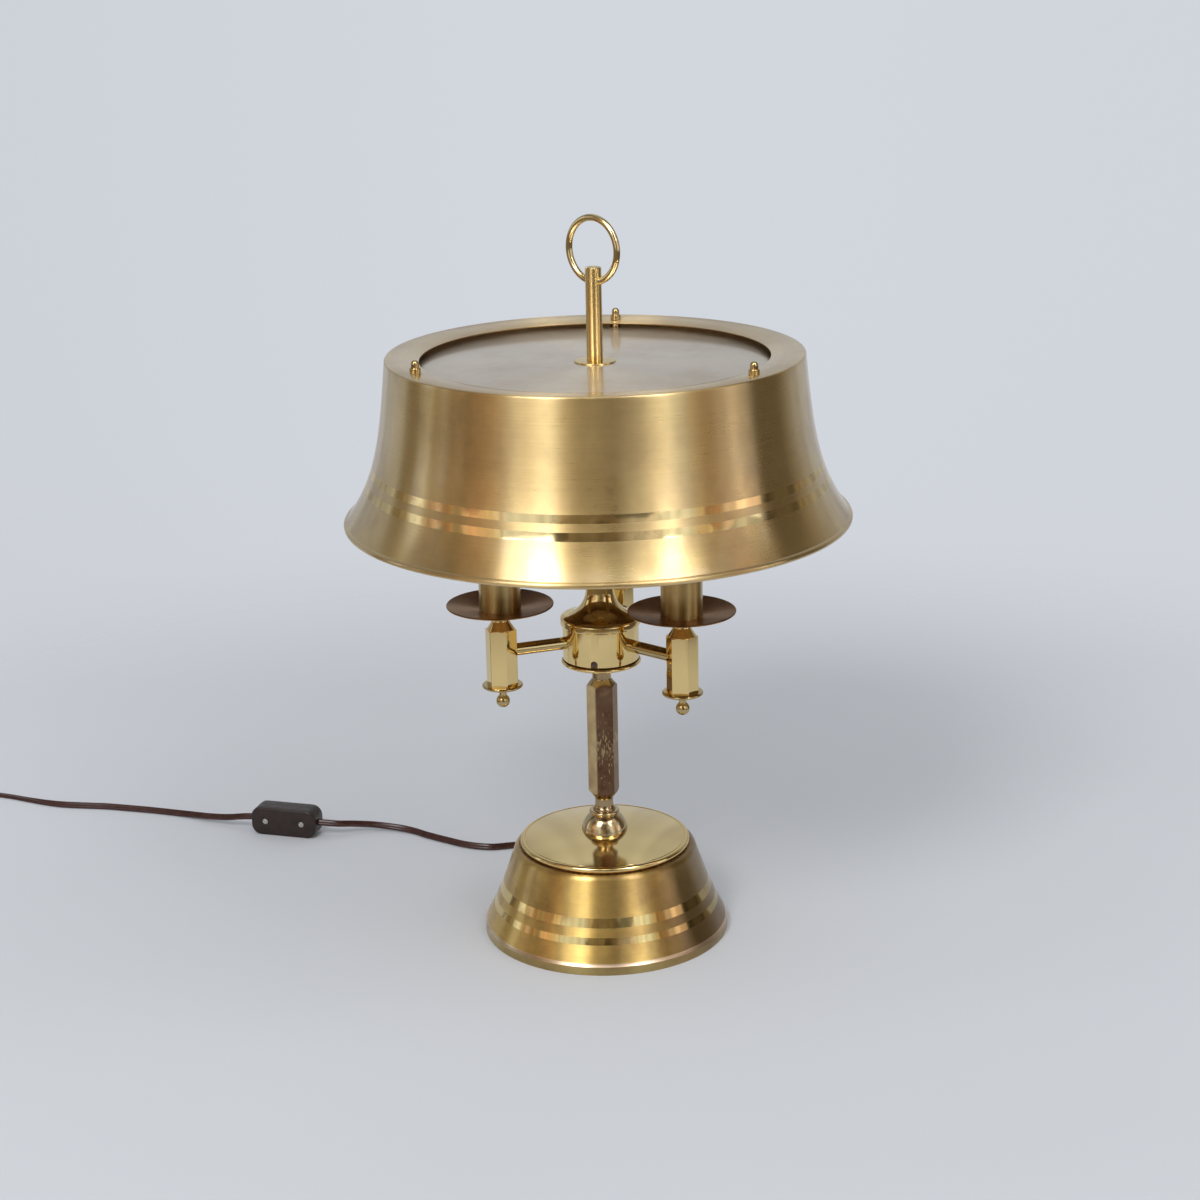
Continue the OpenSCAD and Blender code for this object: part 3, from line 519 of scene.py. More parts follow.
# What has a finish of its own: two bright bands, the top under the cap in painted shade, the upright rim at the
# table and the ledge above it, which carries a painted highlight.
FOOT_BANDS = ((22.3, 27.6, 1), (34.6, 41.8, 1), (72.75, 73, 2), (-1, 6.8, 3), (6.95, 9.5, 4))
foot_heights = [12, 17, 22.3, 25, 27.6, 31, 34.6, 38, 41.8, 46, 50, 54, 58, 62, 66]
foot_shell = put("foot_shell", turned(
    [(98.8, 0), (100, 0, 0.4), (100, 6.9, 0.15), (99.75, 7.3), (99.3, 7.7), (98.85, 8.3), (98.3, 9.2), (97.75, 10.3)]
    + [(foot_wall(z), z) for z in foot_heights]
    + [(74.1, 70.1, 1.5), (71.6, 72.8, 1.5), (BORE, 72.8), (BORE, 71.6), (70.7, 71.6)]
    + [(foot_wall(z) - FOOT_SHEET, z) for z in reversed(foot_heights)] + [(98.8, 6.5)],
    192, bands=FOOT_BANDS),
    (foot_brass, foot_band, painted_seam_shade, rim_brass, ledge_highlight_brass))
carve(foot_shell, "DIFFERENCE", rod(4.6, 40, LEAD_EXIT @ shift(0, 0, 78)))
fit(foot_shell, "lamp", "foot_brass", "base_shell")

felt, tree, shader = new_finish("green_felt")
nap = noise(tree, here(tree), 1400.0, 5.0, 0.7)
feed(tree, shader, {
    "Base Color": ramp(tree, nap, [(0.3, (0.018, 0.05, 0.026)), (0.7, (0.05, 0.11, 0.06))]),
    "Roughness": 0.95, "Sheen Weight": 0.5, "Normal": bump(tree, nap, 0.6, 0.0006)})
zinc = bare_metal("zinc", (0.50, 0.51, 0.50), (0.68, 0.68, 0.66), 0.32)
dress(felt, "base_felt")
dress(bare_metal("cast_iron", (0.045, 0.045, 0.048), (0.11, 0.11, 0.11), 0.7, 500.0, 0.5, 0.6), "base_weight")
dress(bare_metal("plate_steel", (0.38, 0.38, 0.38), (0.5, 0.5, 0.5), 0.4), "base_plate")

# Cap on the foot: a bright turned disc that rises a little to the ball, with a rolled edge over the top of
# the shell. Inside that edge its face is buffed.
CAP_EDGE = 78
DOME = 7
DOME_RADIUS = 65


def dome(radius):
    """Height of the cap's upper face, which rises a little towards the ball."""
    return CAP_EDGE + DOME * (1 - (radius / DOME_RADIUS) ** 2)


mirror_brass = polished("mirror_brass", (0.89, 0.68, 0.31), (0.74, 0.42, 0.22))
buffed_brass = polished("buffed_brass", (0.87, 0.68, 0.33), (0.76, 0.48, 0.26), 0.10, 0.66, 0.03, 0.0)
dome_radii = (BORE, 12, 18, 24, 30, 36, 42, 48, 54, 60, 63.2)
cap = put("foot_cap", turned(
    [(r, dome(r)) for r in dome_radii]
    + [(DOME_RADIUS, CAP_EDGE), (65.4, 77.6, 0.2), (65.8, 77.6, 0.2), (66.1, CAP_EDGE, 0.2), (66.7, CAP_EDGE)]
    + arc(66.7, 75.5, 2.5, 2.5, range(75, -91, -15)) + [(66.7, 72.8), (63.2, 72.8)]
    + [(r, dome(r) - 0.8) for r in reversed(dome_radii)], 192), (mirror_brass, buffed_brass))
for face in cap.data.polygons:
    if face.center.z > (CAP_EDGE - 0.05) * MM and hypot(face.center.x, face.center.y) < DOME_RADIUS * MM:
        face.material_index = 1
fit(cap, "lamp", "polished_brass", "base_cap")

# ---------------------------------------------------------------- stem
# A turned ball and collar stand on the cap, and a hexagonal bar with turned necks stands on them.
# The bar's lacquer has gone on the front face, which has tarnished a dark plum brown.
BALL_RADIUS, BALL_CENTRE, BALL_TOP = 18.8, 83.2, 98.4
BALL_SEAT = 18.76
BAR_FOOT, BAR_TOP = 101.6, 228.2
BAR_FACING = 280.5
# A darker, greyer copy of the bright brass for the ball and collar: painted shade for their dark reflections.
knop_brass = polished("knop_brass", (0.66, 0.53, 0.31), (0.46, 0.33, 0.18), 0.13, 0.55, 0.05, 0.3)
ball = put("knop", turned(
    [(BORE, dome(BORE)), (BALL_SEAT, dome(BALL_SEAT))]
    + arc(0, BALL_CENTRE, BALL_RADIUS, BALL_RADIUS, range(6, 54, 6))
    + [(11.1, BALL_TOP), (BORE, BALL_TOP)], 96), (knop_brass,))
fit(ball, "lamp", "polished_brass", "stem_ball")
collar = put("knop_collar", turned(
    [(BORE, BALL_TOP), (10.8, BALL_TOP)] + arc(10.8, 100, 1.6, 1.6, range(-75, 76, 15))
    + [(10.8, BAR_FOOT), (BORE, BAR_FOOT)], 96), (knop_brass,))
fit(collar, "lamp", "polished_brass", "stem_collar")


def hexagon(across, low, high, facing, place=Matrix.Identity(4)):
    """A hexagonal bar, across its flats, with one flat facing a bearing and its long edges just broken."""
    corner = across / sqrt(3) * MM
    bm = bmesh.new()
    bmesh.ops.create_cone(bm, cap_ends=True, segments=6, radius1=corner, radius2=corner, depth=(high - low) * MM)
    upright = [e for e in bm.edges if abs(e.verts[0].co.z - e.verts[1].co.z) > MM]
    bmesh.ops.bevel(bm, geom=upright, offset=0.35 * MM, offset_type="OFFSET", segments=3, profile=0.5,
                    affect="EDGES", material=-1)
    bmesh.ops.transform(bm, matrix=place @ about_z(facing) @ shift(0, 0, (low + high) / 2), verts=bm.verts[:])
    return bm


tarnished, tree, shader = new_finish("tarnished_brass")
place = here(tree)
spot = split(tree, place)


def on_flat(facing):
    """1 on the bar's flat that faces a bearing, 0 elsewhere."""
    out = calc(tree, "ADD", calc(tree, "MULTIPLY", spot[0], cos(radians(facing))),
               calc(tree, "MULTIPLY", spot[1], sin(radians(facing))))
    return spread(tree, out, 0.0088, 0.0106)


bar = add_node(tree, "VectorMath", {0: place, 1: (1.0, 1.0, 0.3)}, operation="MULTIPLY").outputs[0]
flakes = noise(tree, bar, 750.0, 5.0, 0.6)
patch = noise(tree, place, 60.0, 4.0)
grip = calc(tree, "MULTIPLY", calc(tree, "SUBTRACT", spot[2], 0.159), 1 / 0.016)
grip = calc(tree, "EXPONENT", calc(tree, "MULTIPLY", calc(tree, "MULTIPLY", grip, grip), -1.0))
worn = spread(tree, calc(tree, "ADD", flakes, calc(tree, "MULTIPLY", grip, 0.13)), 0.63, 0.68)
cover = calc(tree, "MAXIMUM", on_flat(BAR_FACING), calc(tree, "MULTIPLY", on_flat(BAR_FACING + 60), 0.75))
cover = calc(tree, "MULTIPLY", cover, calc(tree, "MULTIPLY_ADD", worn, -0.6, 1.0))
plum = ramp(tree, patch, [(0.3, (0.14, 0.070, 0.042)), (0.55, (0.20, 0.115, 0.068)), (0.75, (0.34, 0.22, 0.13))])
gold = blended(tree, spread(tree, patch, 0.40, 0.65), (0.70, 0.53, 0.27), (0.50, 0.33, 0.17))
off_bar = calc(tree, "ABSOLUTE", calc(tree, "SUBTRACT", spot[2], 0.1635))
gold = blended(tree, spread(tree, off_bar, 0.0445, 0.050), gold, (0.46, 0.34, 0.19))
rough = calc(tree, "ADD", calc(tree, "MULTIPLY", cover, 0.22), seasoned(tree, 0.10, 0.2, 90.0, place))
feed(tree, shader, {
    "Base Color": blended(tree, cover, gold, plum), "Metallic": 1.0, "Roughness": rough,
    "Normal": bump(tree, flakes, 0.25, 0.0001)})

stem = put("stem_bar", hexagon(22, BAR_FOOT, BAR_TOP, BAR_FACING), (tarnished,))
carve(stem, "INTERSECT", put("cutter", turned(
    [(0, BAR_FOOT), (9.2, BAR_FOOT)] + arc(12.2, 106.8, 4.8, 5.2, range(230, 179, -10))
    + [(7.4, 111.9, 0.6), (12.75, 119.2), (12.75, 207.8), (7.6, 214.3, 0.6), (7.6, BAR_TOP), (0, BAR_TOP)],
    96, False), ()))
fit(stem, "lamp", "tarnished_brass", "stem")
dress(zinc, "centre_tube", "lock_nuts")

# ---------------------------------------------------------------- hub
# A turned plate, a drawn cup and a trumpet cover make the hub. Three small steel screws in notches
# hold the cup on the plate, and the wires meet in a ceramic block inside.
ARMS = {"back": 79.3, "left": 199.3, "right": 319.3}
ARM_HEIGHT = 247.5
HUB_SCREWS = [about_z(angle - 60) @ shift(0, 0, 235.4) for angle in ARMS.values()]


def block(place, x, y, z):
    """A plain cutting block of that size centred on its place, in mm."""
    bm = bmesh.new()
    bmesh.ops.create_cube(bm, size=MM, matrix=place @ Matrix.Diagonal((x, y, z, 1)))
    return put("cutter", bm, ())


# The plate's spigot inside the cup is dark: painted shade.
hub_plate = put("hub_base", turned(
    [(BORE, BAR_TOP), (30.5, BAR_TOP)] + arc(30.5, 229.7, 1.5, 1.5, range(-75, 76, 15))
    + [(30.5, 231.2), (28.6, 231.2), (28.6, 238.2, 0.3), (25.6, 238.2, 0.3), (25.6, 231.0), (BORE, 231.0)],
    128, bands=((231.1, 239, 1),)), (mirror_brass, painted_seam_shade))
fit(hub_plate, "lamp", "polished_brass", "hub_plate")

CUP_FOOT, CUP_TOP = 232.3, 260.4
hub_cup = put("hub_drum", turned(
    [(29, CUP_FOOT), (30.5, CUP_FOOT, 0.3), (30.5, CUP_TOP), (BORE, CUP_TOP), (BORE, 258.9), (29, 258.9)], 128),
    (mirror_brass,))
cutters = []
for angle, screw in zip(ARMS.values(), HUB_SCREWS):
    cutters += [rod(5.1, 40, about_z(angle) @ shift(10, 0, ARM_HEIGHT) @ LYING),
                rod(2.7, 20, screw @ shift(20, 0, 0) @ LYING), block(screw @ shift(30, 0, -3), 20, 5.4, 6)]
carve(hub_cup, "DIFFERENCE", *cutters)
fit(hub_cup, "lamp", "polished_brass", "hub_cup")

browned_steel = bare_metal("browned_steel", (0.10, 0.065, 0.06), (0.28, 0.20, 0.18), 0.35)
screws = put("hub_fixings", turned(
    [(0, 24), (1.5, 24), (1.5, 28.6), (2.3, 28.6), (2.3, 29.9, 0.3), (0, 30.3)], 32, False,
    [screw @ LYING for screw in HUB_SCREWS]), (browned_steel,))
carve(screws, "DIFFERENCE", *[block(screw @ shift(30.6, 0, 0), 2, 0.6, 8) for screw in HUB_SCREWS])
fit(screws, "lamp", "zinc_steel", "hub_screws")

bell = put("hub_trumpet", turned(
    [(BORE, 310), (10.0, 310, 0.5)] + arc(30.2, 290, 19, 22, range(180, 268, 6))
    + arc(29.5, 264.6, 2.6, 2.9, range(75, -1, -15)) + [(32.1, 261.2), (31.5, CUP_TOP), (29.9, CUP_TOP)]
    + arc(28.6, 288.4, 19, 22, range(264, 179, -12)) + [(9.2, 306), (BORE, 306)], 144), (mirror_brass,))
fit(bell, "lamp", "polished_brass", "hub_bell")

porcelain, tree, shader = new_finish("porcelain")
place = here(tree)
feed(tree, shader, {
    "Base Color": ramp(tree, noise(tree, place, 200.0), [(0.3, (0.70, 0.67, 0.60)), (0.7, (0.80, 0.78, 0.72))]),
    "Roughness": seasoned(tree, 0.2, 0.35, 80.0, place)})
dress(porcelain, "terminal_block")


def moulded(name, dark, light, roughness, scale=400.0, grain=0.1):
    """Moulded plastic or rubber with a slight mottle and an orange-peel skin."""
    finish, tree, shader = new_finish(name)
    place = here(tree)
    mottle = noise(tree, place, scale * 0.25, 4.0)
    feed(tree, shader, {
        "Base Color": ramp(tree, mottle, [(0.3, dark), (0.7, light)]),
        "Roughness": seasoned(tree, roughness - 0.05, roughness + 0.08, scale * 0.4, place),
        "Normal": bump(tree, noise(tree, place, scale, 2.0), grain, 0.0002)})
    return finish


flex_skin = moulded("flex_pvc", (0.044, 0.017, 0.014), (0.068, 0.027, 0.021), 0.16, 700.0, 0.05)
dress(flex_skin, "supply_lead")
dress(moulded("wire_pvc", (0.60, 0.58, 0.54), (0.68, 0.66, 0.62), 0.4), "arm_leads")

# ---------------------------------------------------------------- arms and candles
# Three straight tubes are screwed into the hub. Each carries a hexagonal holder, a drip dish and a
# brass sleeve round a lampholder with a candle bulb.
REACH = 83
HOLDER_FOOT, HOLDER_TOP = 220.7, 282
SLEEVE_FOOT, SLEEVE_TOP = 283, 363
BULB_FOOT, BULB_TOP = 352.5, 422
BULB_STEPS = 24
candles = {side: about_z(angle) @ shift(REACH, 0, 0) for side, angle in ARMS.items()}
satin_tube = brushed("satin_tube", (0.78, 0.57, 0.24), (0.45, 0.28, 0.12), 0.36, 0.85, 0.55)
bronzed = brushed("bronzed_dish", (0.56, 0.31, 0.11), (0.31, 0.155, 0.055), 0.30, 0.9, 0.42, 0.08, 0.03)
# A darker copy of the bright brass for the arms, discs, knobs and the shade's nuts: partly a duller finish, partly
# painted shade.
dull_brass_and_shade = polished("dull_brass_and_shade", (0.60, 0.46, 0.22), (0.44, 0.29, 0.14), 0.09, 0.55, 0.05, 0.02)
glass, tree, shader = new_finish("bulb_glass")
feed(tree, shader, {
    "Base Color": (1, 1, 1, 1), "Transmission Weight": 1.0, "IOR": 1.48,
    "Roughness": seasoned(tree, 0.0, 0.03, 60.0, here(tree))})


def bulb_side():
    """Outside of a candle bulb from its neck up, to just below its tip."""
    side = []
    for i in range(BULB_STEPS):
        t = i / BULB_STEPS
        radius = 6.9 + 10.6 * sin(pi * t ** 0.78) ** 1.1 - 6.9 * t ** 5
        side.append((radius, BULB_FOOT + (BULB_TOP - BULB_FOOT) * t))
    return side


def bulb_inside(side):
    """The inner face of that glass, from the tip down, with an open neck."""
    inside = [(max(radius - 0.8, 0.4), height - 0.8 * (i / (BULB_STEPS - 1)) ** 3)
              for i, (radius, height) in enumerate(side)]
    return inside[::-1]


for side, spot in candles.items():
    arm = put("arm_tube_" + side, turned([(3.9, 0), (5, 0), (5, 55.4), (3.9, 55.4)], 48, True,
              [about_z(ARMS[side]) @ shift(22, 0, ARM_HEIGHT) @ LYING]), (dull_brass_and_shade,))
    fit(arm, "lamp", "polished_brass", "arm_" + side)

    holder = put("candle_stock_" + side, hexagon(22, HOLDER_FOOT, HOLDER_TOP, 0, spot), (mirror_brass,))
    cone = put("cutter", turned(
        [(BORE, HOLDER_FOOT), (12.8, HOLDER_FOOT), (12.8, 266), (10.9, 266.1), (10.9, 266.5), (6.5, 273.4, 0.8),
         (6.5, HOLDER_TOP), (BORE, HOLDER_TOP)], 96, True, [spot]), ())
    carve(holder, "INTERSECT", cone)
    carve(holder, "DIFFERENCE", rod(5.05, 40, spot @ shift(-40, 0, ARM_HEIGHT) @ LYING))
    fit(holder, "lamp", "polished_brass", "holder_" + side)

    dish = put("drip_dish_" + side, turned(
        [(BORE, HOLDER_TOP), (16.8, HOLDER_TOP, 0.6), (42, 285.9), (42.1, 286.6, 0.2), (41.4, 286.9, 0.2),
         (16.6, SLEEVE_FOOT, 0.6), (BORE, SLEEVE_FOOT)], 128, True, [spot]), (bronzed,))
    fit(dish, "lamp", "bronzed_brass", "dish_" + side)

    sleeve = put("candle_sleeve_" + side, turned(
        [(15.4, SLEEVE_FOOT), (16.3, SLEEVE_FOOT), (16.3, SLEEVE_TOP, 0.2), (15.4, SLEEVE_TOP, 0.2)], 96, True,
        [spot]), (satin_tube,))
    fit(sleeve, "lamp", "satin_brass", "sleeve_" + side)

    bulb = put("candle_bulb_" + side, turned(
        bulb_side() + [(0, BULB_TOP), (0, BULB_TOP - 0.8)] + bulb_inside(bulb_side()), 64, True, [spot]), (glass,))
    fit(bulb, "lamp", "bulb_glass", "bulb_" + side)

nickel = bare_metal("nickel", (0.62, 0.60, 0.56), (0.72, 0.70, 0.66), 0.22)
phenolic = moulded("phenolic", (0.012, 0.009, 0.008), (0.024, 0.018, 0.015), 0.35)
dress(phenolic, "socket_back", "socket_left", "socket_right")
dress(nickel, "bulb_caps")
dress(zinc, "nipples")

discs = put("stock_discs", turned(
    [(3.05, 218.2), (14.9, 218.2)] + arc(14.95, 219.45, 1.25, 1.25, range(-75, 76, 15))
    + [(14.9, HOLDER_FOOT), (3.05, HOLDER_FOOT)], 96, True, list(candles.values())), (dull_brass_and_shade,))
fit(discs, "lamp", "polished_brass", "holder_discs")
balls = put("stock_knobs", turned(
    arc(0, 206.4, 5.5, 5.5, range(-90, 55, 8)) + [(3, 211.4, 0.3), (3, 232), (0, 232)], 64, False,
    list(candles.values())), (dull_brass_and_shade,))
fit(balls, "lamp", "polished_brass", "ball_nuts")

# ---------------------------------------------------------------- rod and seat inside the shade
# A brass tube covers the threaded rod, and a round seat on a lock nut carries the shade. Both are
# hidden by the shade in most views.
PLATE_FOOT, PLATE_TOP = 470.8, 472
rod_tube = put("rod_tube", turned([(BORE, 310), (6.3, 310), (6.3, 463.8, 0.2), (BORE, 463.8)], 64), (satin_tube,))
fit(rod_tube, "lamp", "satin_brass", "rod_sleeve")
seat = put("shade_rest", turned(
    [(BORE, 467.8), (20, 467.8, 0.4), (20, PLATE_FOOT, 0.4), (BORE, PLATE_FOOT)], 96), (satin_tube,))
fit(seat, "lamp", "satin_brass", "shade_seat")

# ---------------------------------------------------------------- shade
# The shade is spun from one brass disc: a sloping flange, a wall that flares to a rolled rim, and two
# bands burnished bright through the brushed finish. A flat plate hangs under its open top.
LOOSE_BORE = 5.4
SHADE_SHEET = 0.84
SHADE_BANDS = ((390.6, 396.6, 1), (378.6, 384.6, 1))
OPENING = 135.3
STUDS = [about_z(angle) @ shift(146, 0, 0) for angle in (83, 203, 323)]
shade_brass = brushed("shade_brass", (0.83, 0.615, 0.275), (0.60, 0.40, 0.20), 0.30, 1.0, 0.58)
bright_band = polished("bright_band", (0.86, 0.67, 0.33), (0.62, 0.38, 0.20), 0.06, 0.55, dented=0.1)
plate_brass = brushed("plate_brass", (0.83, 0.72, 0.55), (0.68, 0.53, 0.36), 0.33, 0.7, 0.55, 0.03, grooves=0.04)
# Darker brass for the shade's inside and the plate's underside: partly dull unlacquered brass, partly painted shade.
inner_brass_and_shade = brushed("inner_brass_and_shade", (0.42, 0.27, 0.13), (0.22, 0.135, 0.065), 0.48, 0.6, 0.45, 0.08, 0.0)


def shade_wall(z):
    """Radius of the shade's outside at height z: nearly upright above, and flared towards the rim."""
    drop = 477.4 - z
    return 162.2 + 0.105 * drop + 20.34 * (drop / 123.4) ** 3.75


def flange(radius):
    """Height of the flange's upper face."""
    return 476.6 + 2.4 * (radius - OPENING) / 25.5


wall_heights = [477.4, 474, 468, 460, 452, 444, 436, 428, 420, 414, 408, 402, 396.6, 393.6, 390.6, 387.6, 384.6,
                381.6, 378.6, 374, 370, 366, 362, 358.5, 355.5, 353]
shade = put("shade_body", turned(
    [(OPENING, flange(OPENING) - 0.8), (OPENING, flange(OPENING), 0.3)]
    + arc(160.8, 477.4, 1.4, 1.6, (85, 65, 45, 25))
    + [(shade_wall(z), z) for z in wall_heights] + arc(196.7, 350.5, 2.3, 2.3, range(60, -241, -20))
    + [(shade_wall(z) - SHADE_SHEET, z) for z in reversed(wall_heights[1:])] + [(160.0, 477.9)],
    224, bands=SHADE_BANDS), (shade_brass, bright_band, inner_brass_and_shade))
# The inside and the underside of the flange are darker: dull brass with painted shade.
for face in shade.data.polygons:
    outwards = face.normal.x * face.center.x + face.normal.y * face.center.y
    if (outwards < -0.01 or (face.normal.z < -0.5 and face.center.z > 0.4)) and face.normal.z < 0.5:
        face.material_index = 2
fit(shade, "shade", "spun_brass", "shade_shell")

# The plate's underside takes the darker inside brass, with its painted shade.
plate = put("shade_top_plate", turned(
    [(LOOSE_BORE, PLATE_FOOT), (154, PLATE_FOOT, 0.3), (154, PLATE_TOP, 0.3), (LOOSE_BORE, PLATE_TOP)], 192,
    bands=((470, 471.3, 1),)), (plate_brass, inner_brass_and_shade))
fit(plate, "shade", "grey_brass", "shade_plate")

nuts = put("shade_cap_nuts", turned(
    [(0, 476.6), (4.2, 477.6), (4.2, 481.3, 0.5), (3.1, 481.6), (3.1, 484.2)]
    + arc(0, 484.2, 3.1, 3.1, range(15, 91, 15)), 48, False, STUDS), (dull_brass_and_shade,))
fit(nuts, "shade", "polished_brass", "shade_nuts")
spacers = put("shade_spacer_tubes", turned(
    [(1.55, PLATE_TOP), (4, PLATE_TOP), (4, 476.8), (1.55, 476.6)], 32, True, STUDS), (satin_tube,))
fit(spacers, "shade", "satin_brass", "shade_spacers")
dress(zinc, "shade_studs")

# ---------------------------------------------------------------- finial
# A thin washer and a post screw down on the threaded rod and clamp the shade. A ring of brass wire is
# brazed into the top of the post.
WASHER_TOP, POST_TOP = 473, 545
RING = shift(0, 0, 558.2) @ about_z(-42) @ Matrix.Rotation(pi / 2, 4, "X")
washer = put("finial_disc", turned(
    [(LOOSE_BORE, PLATE_TOP), (16.2, PLATE_TOP, 0.2), (16.2, WASHER_TOP, 0.4), (LOOSE_BORE, WASHER_TOP)], 96),
    (mirror_brass,))
fit(washer, "washer", "polished_brass", "finial_washer")


def hoop(wire):
    """The ring, of wire of that radius."""
    return turned(arc(24.35, 0, wire, wire, range(0, 360, 15)), 128, True, [RING])


post_brass = polished("post_brass", (0.89, 0.69, 0.33), (0.76, 0.48, 0.26), 0.22, 0.66, 0.0, 0.0, 1.0)
post = put("finial_stem", turned(
    [(BORE, WASHER_TOP), (6.3, WASHER_TOP, 0.2), (6.3, 544.2), (5.5, POST_TOP, 0.2), (0, POST_TOP), (0, 482.5),
     (BORE, 482)], 64), (post_brass,))
carve(post, "DIFFERENCE", put("cutter", hoop(2.7), ()))
fit(post, "finial", "polished_brass", "finial_post")
ring_brass = polished("ring_brass", (0.86, 0.71, 0.40), (0.74, 0.50, 0.26), 0.06, 0.7, 0.04, 0.0)
ring = put("finial_loop", hoop(2.65), (ring_brass,))
fit(ring, "finial", "polished_brass", "finial_ring")

# ---------------------------------------------------------------- cord
# A flat two-core flex leaves the foot through a moulded relief, passes an in-line switch and ends in a
# flat two-pin plug. What isn't needed is wound in a coil on the table.
CORE = 1.6
COIL_CENTRE = (-632, 288)
SWITCH = shift(-289, 206.5, 13) @ about_z(-16)
brown = moulded("brown_plastic", (0.020, 0.011, 0.009), (0.032, 0.018, 0.014), 0.33, 500.0, 0.08)
relief = put("cord_bush", turned(
    [(0, 88), (6.2, 88, 0.4), (6.2, 92, 0.4), (4.5, 92), (4.5, 101), (6.4, 101, 0.4), (6.4, 104, 0.8), (5.7, 107),
     (5.2, 107.4), (5.2, 108.4), (5.5, 109), (5.2, 112), (4.8, 112.4), (4.8, 113.4), (5.0, 114), (4.8, 117),
     (4.4, 117.4), (4.4, 118.4), (4.6, 119), (4.2, 123, 0.6), (0, 123)], 48, False, [LEAD_EXIT]), (brown,))
fit(relief, "lamp", "brown_plastic", "cord_relief")


def smooth_line(points, fine=6):
    """A rounded line through the points of a route, in metres."""
    points = [Vector(p) * MM for p in points]
    line = []
    for i in range(len(points) - 1):
        p0, p1, p2, p3 = points[max(i - 1, 0)], points[i], points[i + 1], points[min(i + 2, len(points) - 1)]
        for k in range(fine):
            t = k / fine
            line.append(0.5 * (2 * p1 + (p2 - p0) * t + (2 * p0 - 5 * p1 + 4 * p2 - p3) * t * t
                               + (3 * p1 - p0 - 3 * p2 + p3) * t ** 3))
    return line + [points[-1]]


def step(t, start, end):
    """Smooth rise from 0 to 1 between two places."""
    t = min(max((t - start) / (end - start), 0), 1)
    return t * t * (3 - 2 * t)


def lean(point):
    """How far the flex rolls onto one core there, between the foot and the coil."""
    return radians(42) * step(-point.x, 0.03, 0.09) * (1 - step(-point.x, 0.50, 0.56))


def laid(line):
    """The line raised where the flex lies on one core."""
    return [point + Vector((0, 0, 1.5 * MM * sin(lean(point)) * (1 - step(point.z, 0.002, 0.010))))
            for point in line]


def flat_flex(name, line):
    """Sweeps the two-core section along a line."""
    bm = bmesh.new()
    section = []
    for side in (1, -1):
        for k in range(9):
            a = radians(-125 + 250 * k / 8)
            section.append((side * (1.5 + CORE * cos(a)), side * CORE * sin(a)))
    last = None
    for i, point in enumerate(line):
        ahead = (line[min(i + 1, len(line) - 1)] - line[max(i - 1, 0)]).normalized()
        across = Vector((-ahead.y, ahead.x, 0)).normalized()
        roll = Matrix.Rotation(-lean(point), 3, ahead)
        across, up = roll @ across, roll @ ahead.cross(across)
        ring = [bm.verts.new(point + (across * x + up * y) * MM) for x, y in section]
        edges = [bm.edges.new((a, b)) for a, b in zip(ring, ring[1:] + ring[:1])]
        if last:
            bmesh.ops.bridge_loops(bm, edges=last + edges)
        else:
            bmesh.ops.contextual_create(bm, geom=edges)
        last = edges
    bmesh.ops.contextual_create(bm, geom=last)
    bmesh.ops.recalc_face_normals(bm, faces=bm.faces[:])
    return put(name, bm, (flex_skin,), 60)


def switch_end(side):
    """Where the flex meets the switch: 1 on the lamp's side, -1 on the plug's."""
    return (SWITCH @ Vector((side * 0.031, 0, 0))) / MM


def coil_route():
    """Three rings on the table, wound inwards, and three on them, wound outwards."""
    turns = 5.303
    count = ceil(turns * 24)
    points = []
    for i in range(count + 1):
        t = turns * i / count
        radius = 39.6 - 6.3 * (step(t, 0.82, 1) + step(t, 1.82, 2) - step(t, 3.32, 3.5) - step(t, 4.32, 4.5))
        a = radians(69.3) + 2 * pi * t
        points.append((COIL_CENTRE[0] + radius * cos(a), COIL_CENTRE[1] + radius * sin(a),
                       CORE + 3.3 * step(t, 2.4, 2.85)))
    return points


lead = radians(LEAD_BEARING)
lamp_line = laid(smooth_line([
    (123 * cos(lead), 123 * sin(lead), 10), (-14, 133, 9.5), (-16, 143, 7.5), (-22, 152, 4.8), (-32, 159, 2.6),
    (-45, 162, CORE), (-62, 162, CORE), (-82, 160, CORE), (-102, 157, CORE), (-123, 163, CORE), (-141, 174, CORE),
    (-160, 187, CORE), (-171, 196, CORE), (-183, 202, 2.4), (-198, 205, 4), (-213, 205, 6.5), (-228, 201, 9.5),
    (-243, 196, 12), switch_end(1)]))
lamp_flex = flat_flex("lamp_flex", lamp_line)
fit(lamp_flex, "lamp", "cord_pvc", "lamp_lead")
wall_line = laid(smooth_line([
    switch_end(-1), (-331, 218, 12), (-347, 225, 8.6), (-366, 236, 4.8), (-383, 246, 2.6), (-404, 255, CORE),
    (-426, 262, CORE), (-448, 268, CORE), (-468, 273, CORE), (-488, 276, CORE), (-510, 280, CORE),
    (-528, 287, CORE), (-546, 296, CORE), (-564, 305, CORE), (-582, 312, CORE), (-600, 319, CORE),
    *coil_route(), (-672.5, 278, 5), (-673, 268, 5.8), (-673, 256, 6.8)], 3))
wall_flex = flat_flex("wall_flex", wall_line)
fit(wall_flex, "lamp", "cord_pvc", "wall_lead", "cord_coil", "plug_lead")

# In-line switch: two dark brown shells held by two slotted screws, with a rocker on the far side.
SWITCH_SIZE = (62, 26)
INWARDS = Matrix.Rotation(-pi / 2, 4, "X")
OUTWARDS = Matrix.Rotation(pi / 2, 4, "X")
SWITCH_SCREWS = (-17.5, 17.5)


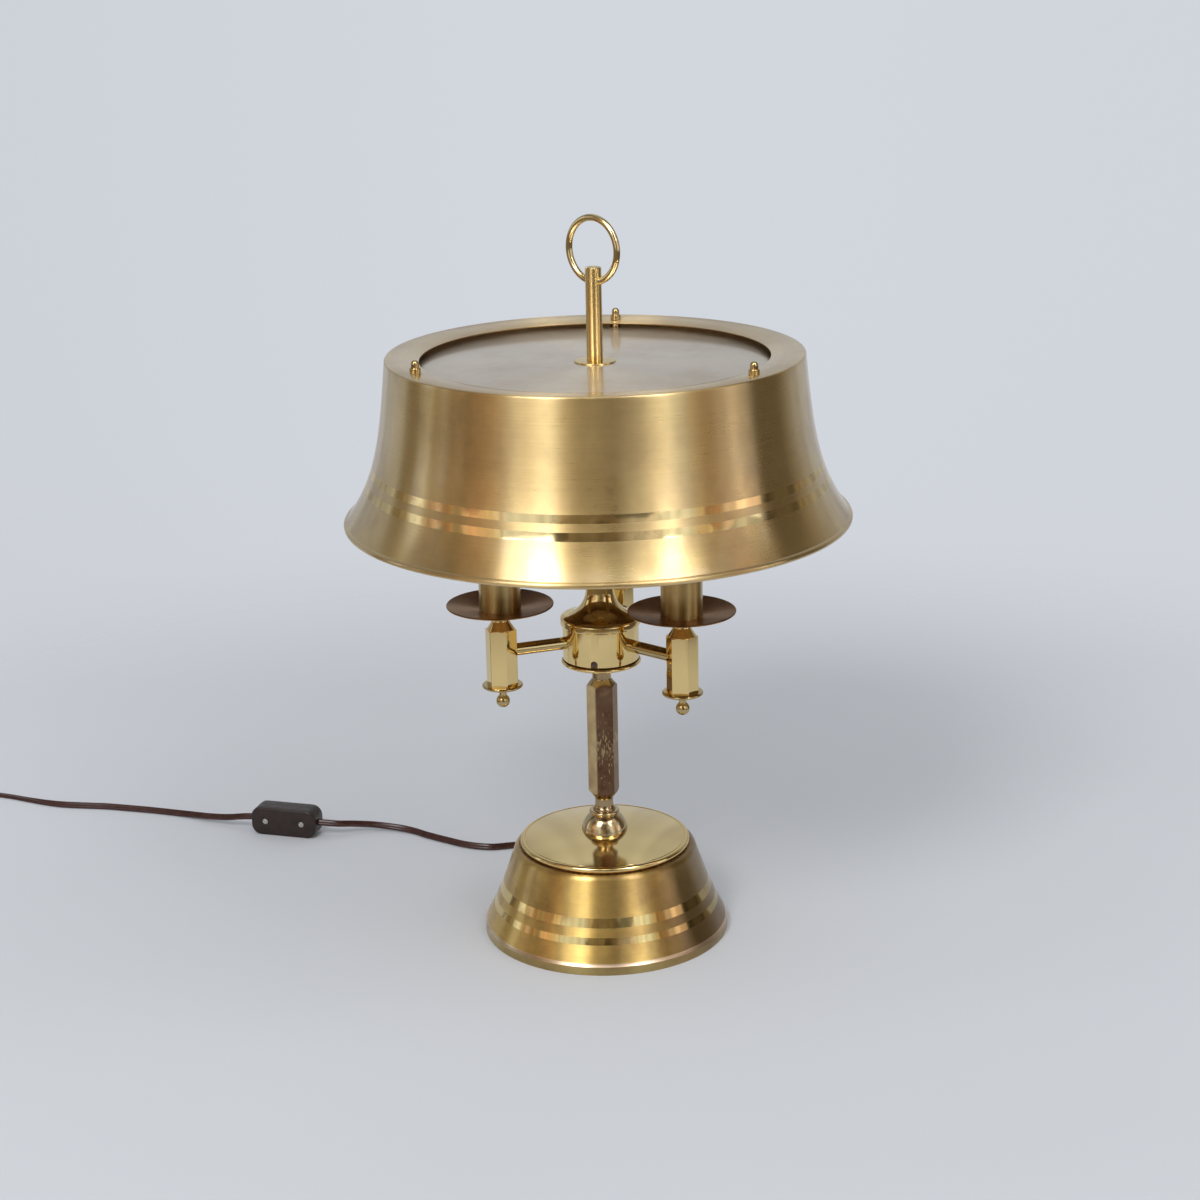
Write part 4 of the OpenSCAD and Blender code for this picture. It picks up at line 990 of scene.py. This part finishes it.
def slab(y0, y1, rounding):
    """A plate with the switch's round-cornered outline between two depths; a rounding is (depth of the rim,
    its radius)."""
    bm = bmesh.new()
    size = Matrix.Diagonal((SWITCH_SIZE[0], y1 - y0, SWITCH_SIZE[1], 1))
    bmesh.ops.create_cube(bm, size=MM, matrix=shift(0, (y0 + y1) / 2, 0) @ size)
    corners = [e for e in bm.edges if abs(e.verts[0].co.y - e.verts[1].co.y) > MM / 2]
    bmesh.ops.bevel(bm, geom=corners, offset=9 * MM, offset_type="OFFSET", segments=10, profile=0.5,
                    affect="EDGES", material=-1)
    bmesh.ops.recalc_face_normals(bm, faces=bm.faces[:])
    for y, width in rounding:
        rim = [e for e in bm.edges if all(abs(v.co.y - y * MM) < 1e-6 for v in e.verts)]
        bmesh.ops.bevel(bm, geom=rim, offset=width * MM, offset_type="OFFSET", segments=5, profile=0.5,
                        affect="EDGES", material=-1)
    bmesh.ops.transform(bm, matrix=SWITCH, verts=bm.verts[:])
    return bm


switch_front = put("switch_face", slab(-10, -0.15, ((-10, 1.5), (-0.15, 0.3))), (brown,))
carve(switch_front, "DIFFERENCE", *[rod(2.8, 11, SWITCH @ shift(x, -20, 0) @ INWARDS) for x in SWITCH_SCREWS])
fit(switch_front, "lamp", "brown_plastic", "switch_front")
switch_back = put("switch_rear", slab(-0.15, 10, ((10, 1.5),)), (brown,))
carve(switch_back, "DIFFERENCE", block(SWITCH @ shift(0, 9, 0), 22, 14, 11))
fit(switch_back, "lamp", "brown_plastic", "switch_back")
switch_screws = put("switch_fixings", turned(
    [(0, 5), (1.5, 5), (1.5, 9.2), (2.6, 9.2), (2.6, 9.8, 0.2), (0, 9.8)], 40, False,
    [SWITCH @ shift(x, 0, 0) @ OUTWARDS for x in SWITCH_SCREWS]), (nickel,))
slot_turn = Matrix.Rotation(radians(35), 4, "Y")
slots = [block(SWITCH @ shift(x, -9.8, 0) @ slot_turn, 6, 0.8, 0.7) for x in SWITCH_SCREWS]
carve(switch_screws, "DIFFERENCE", *slots)
fit(switch_screws, "lamp", "nickel", "switch_screws")
dress(brown, "switch_rocker", "plug_body")
dress(nickel, "plug_pins")
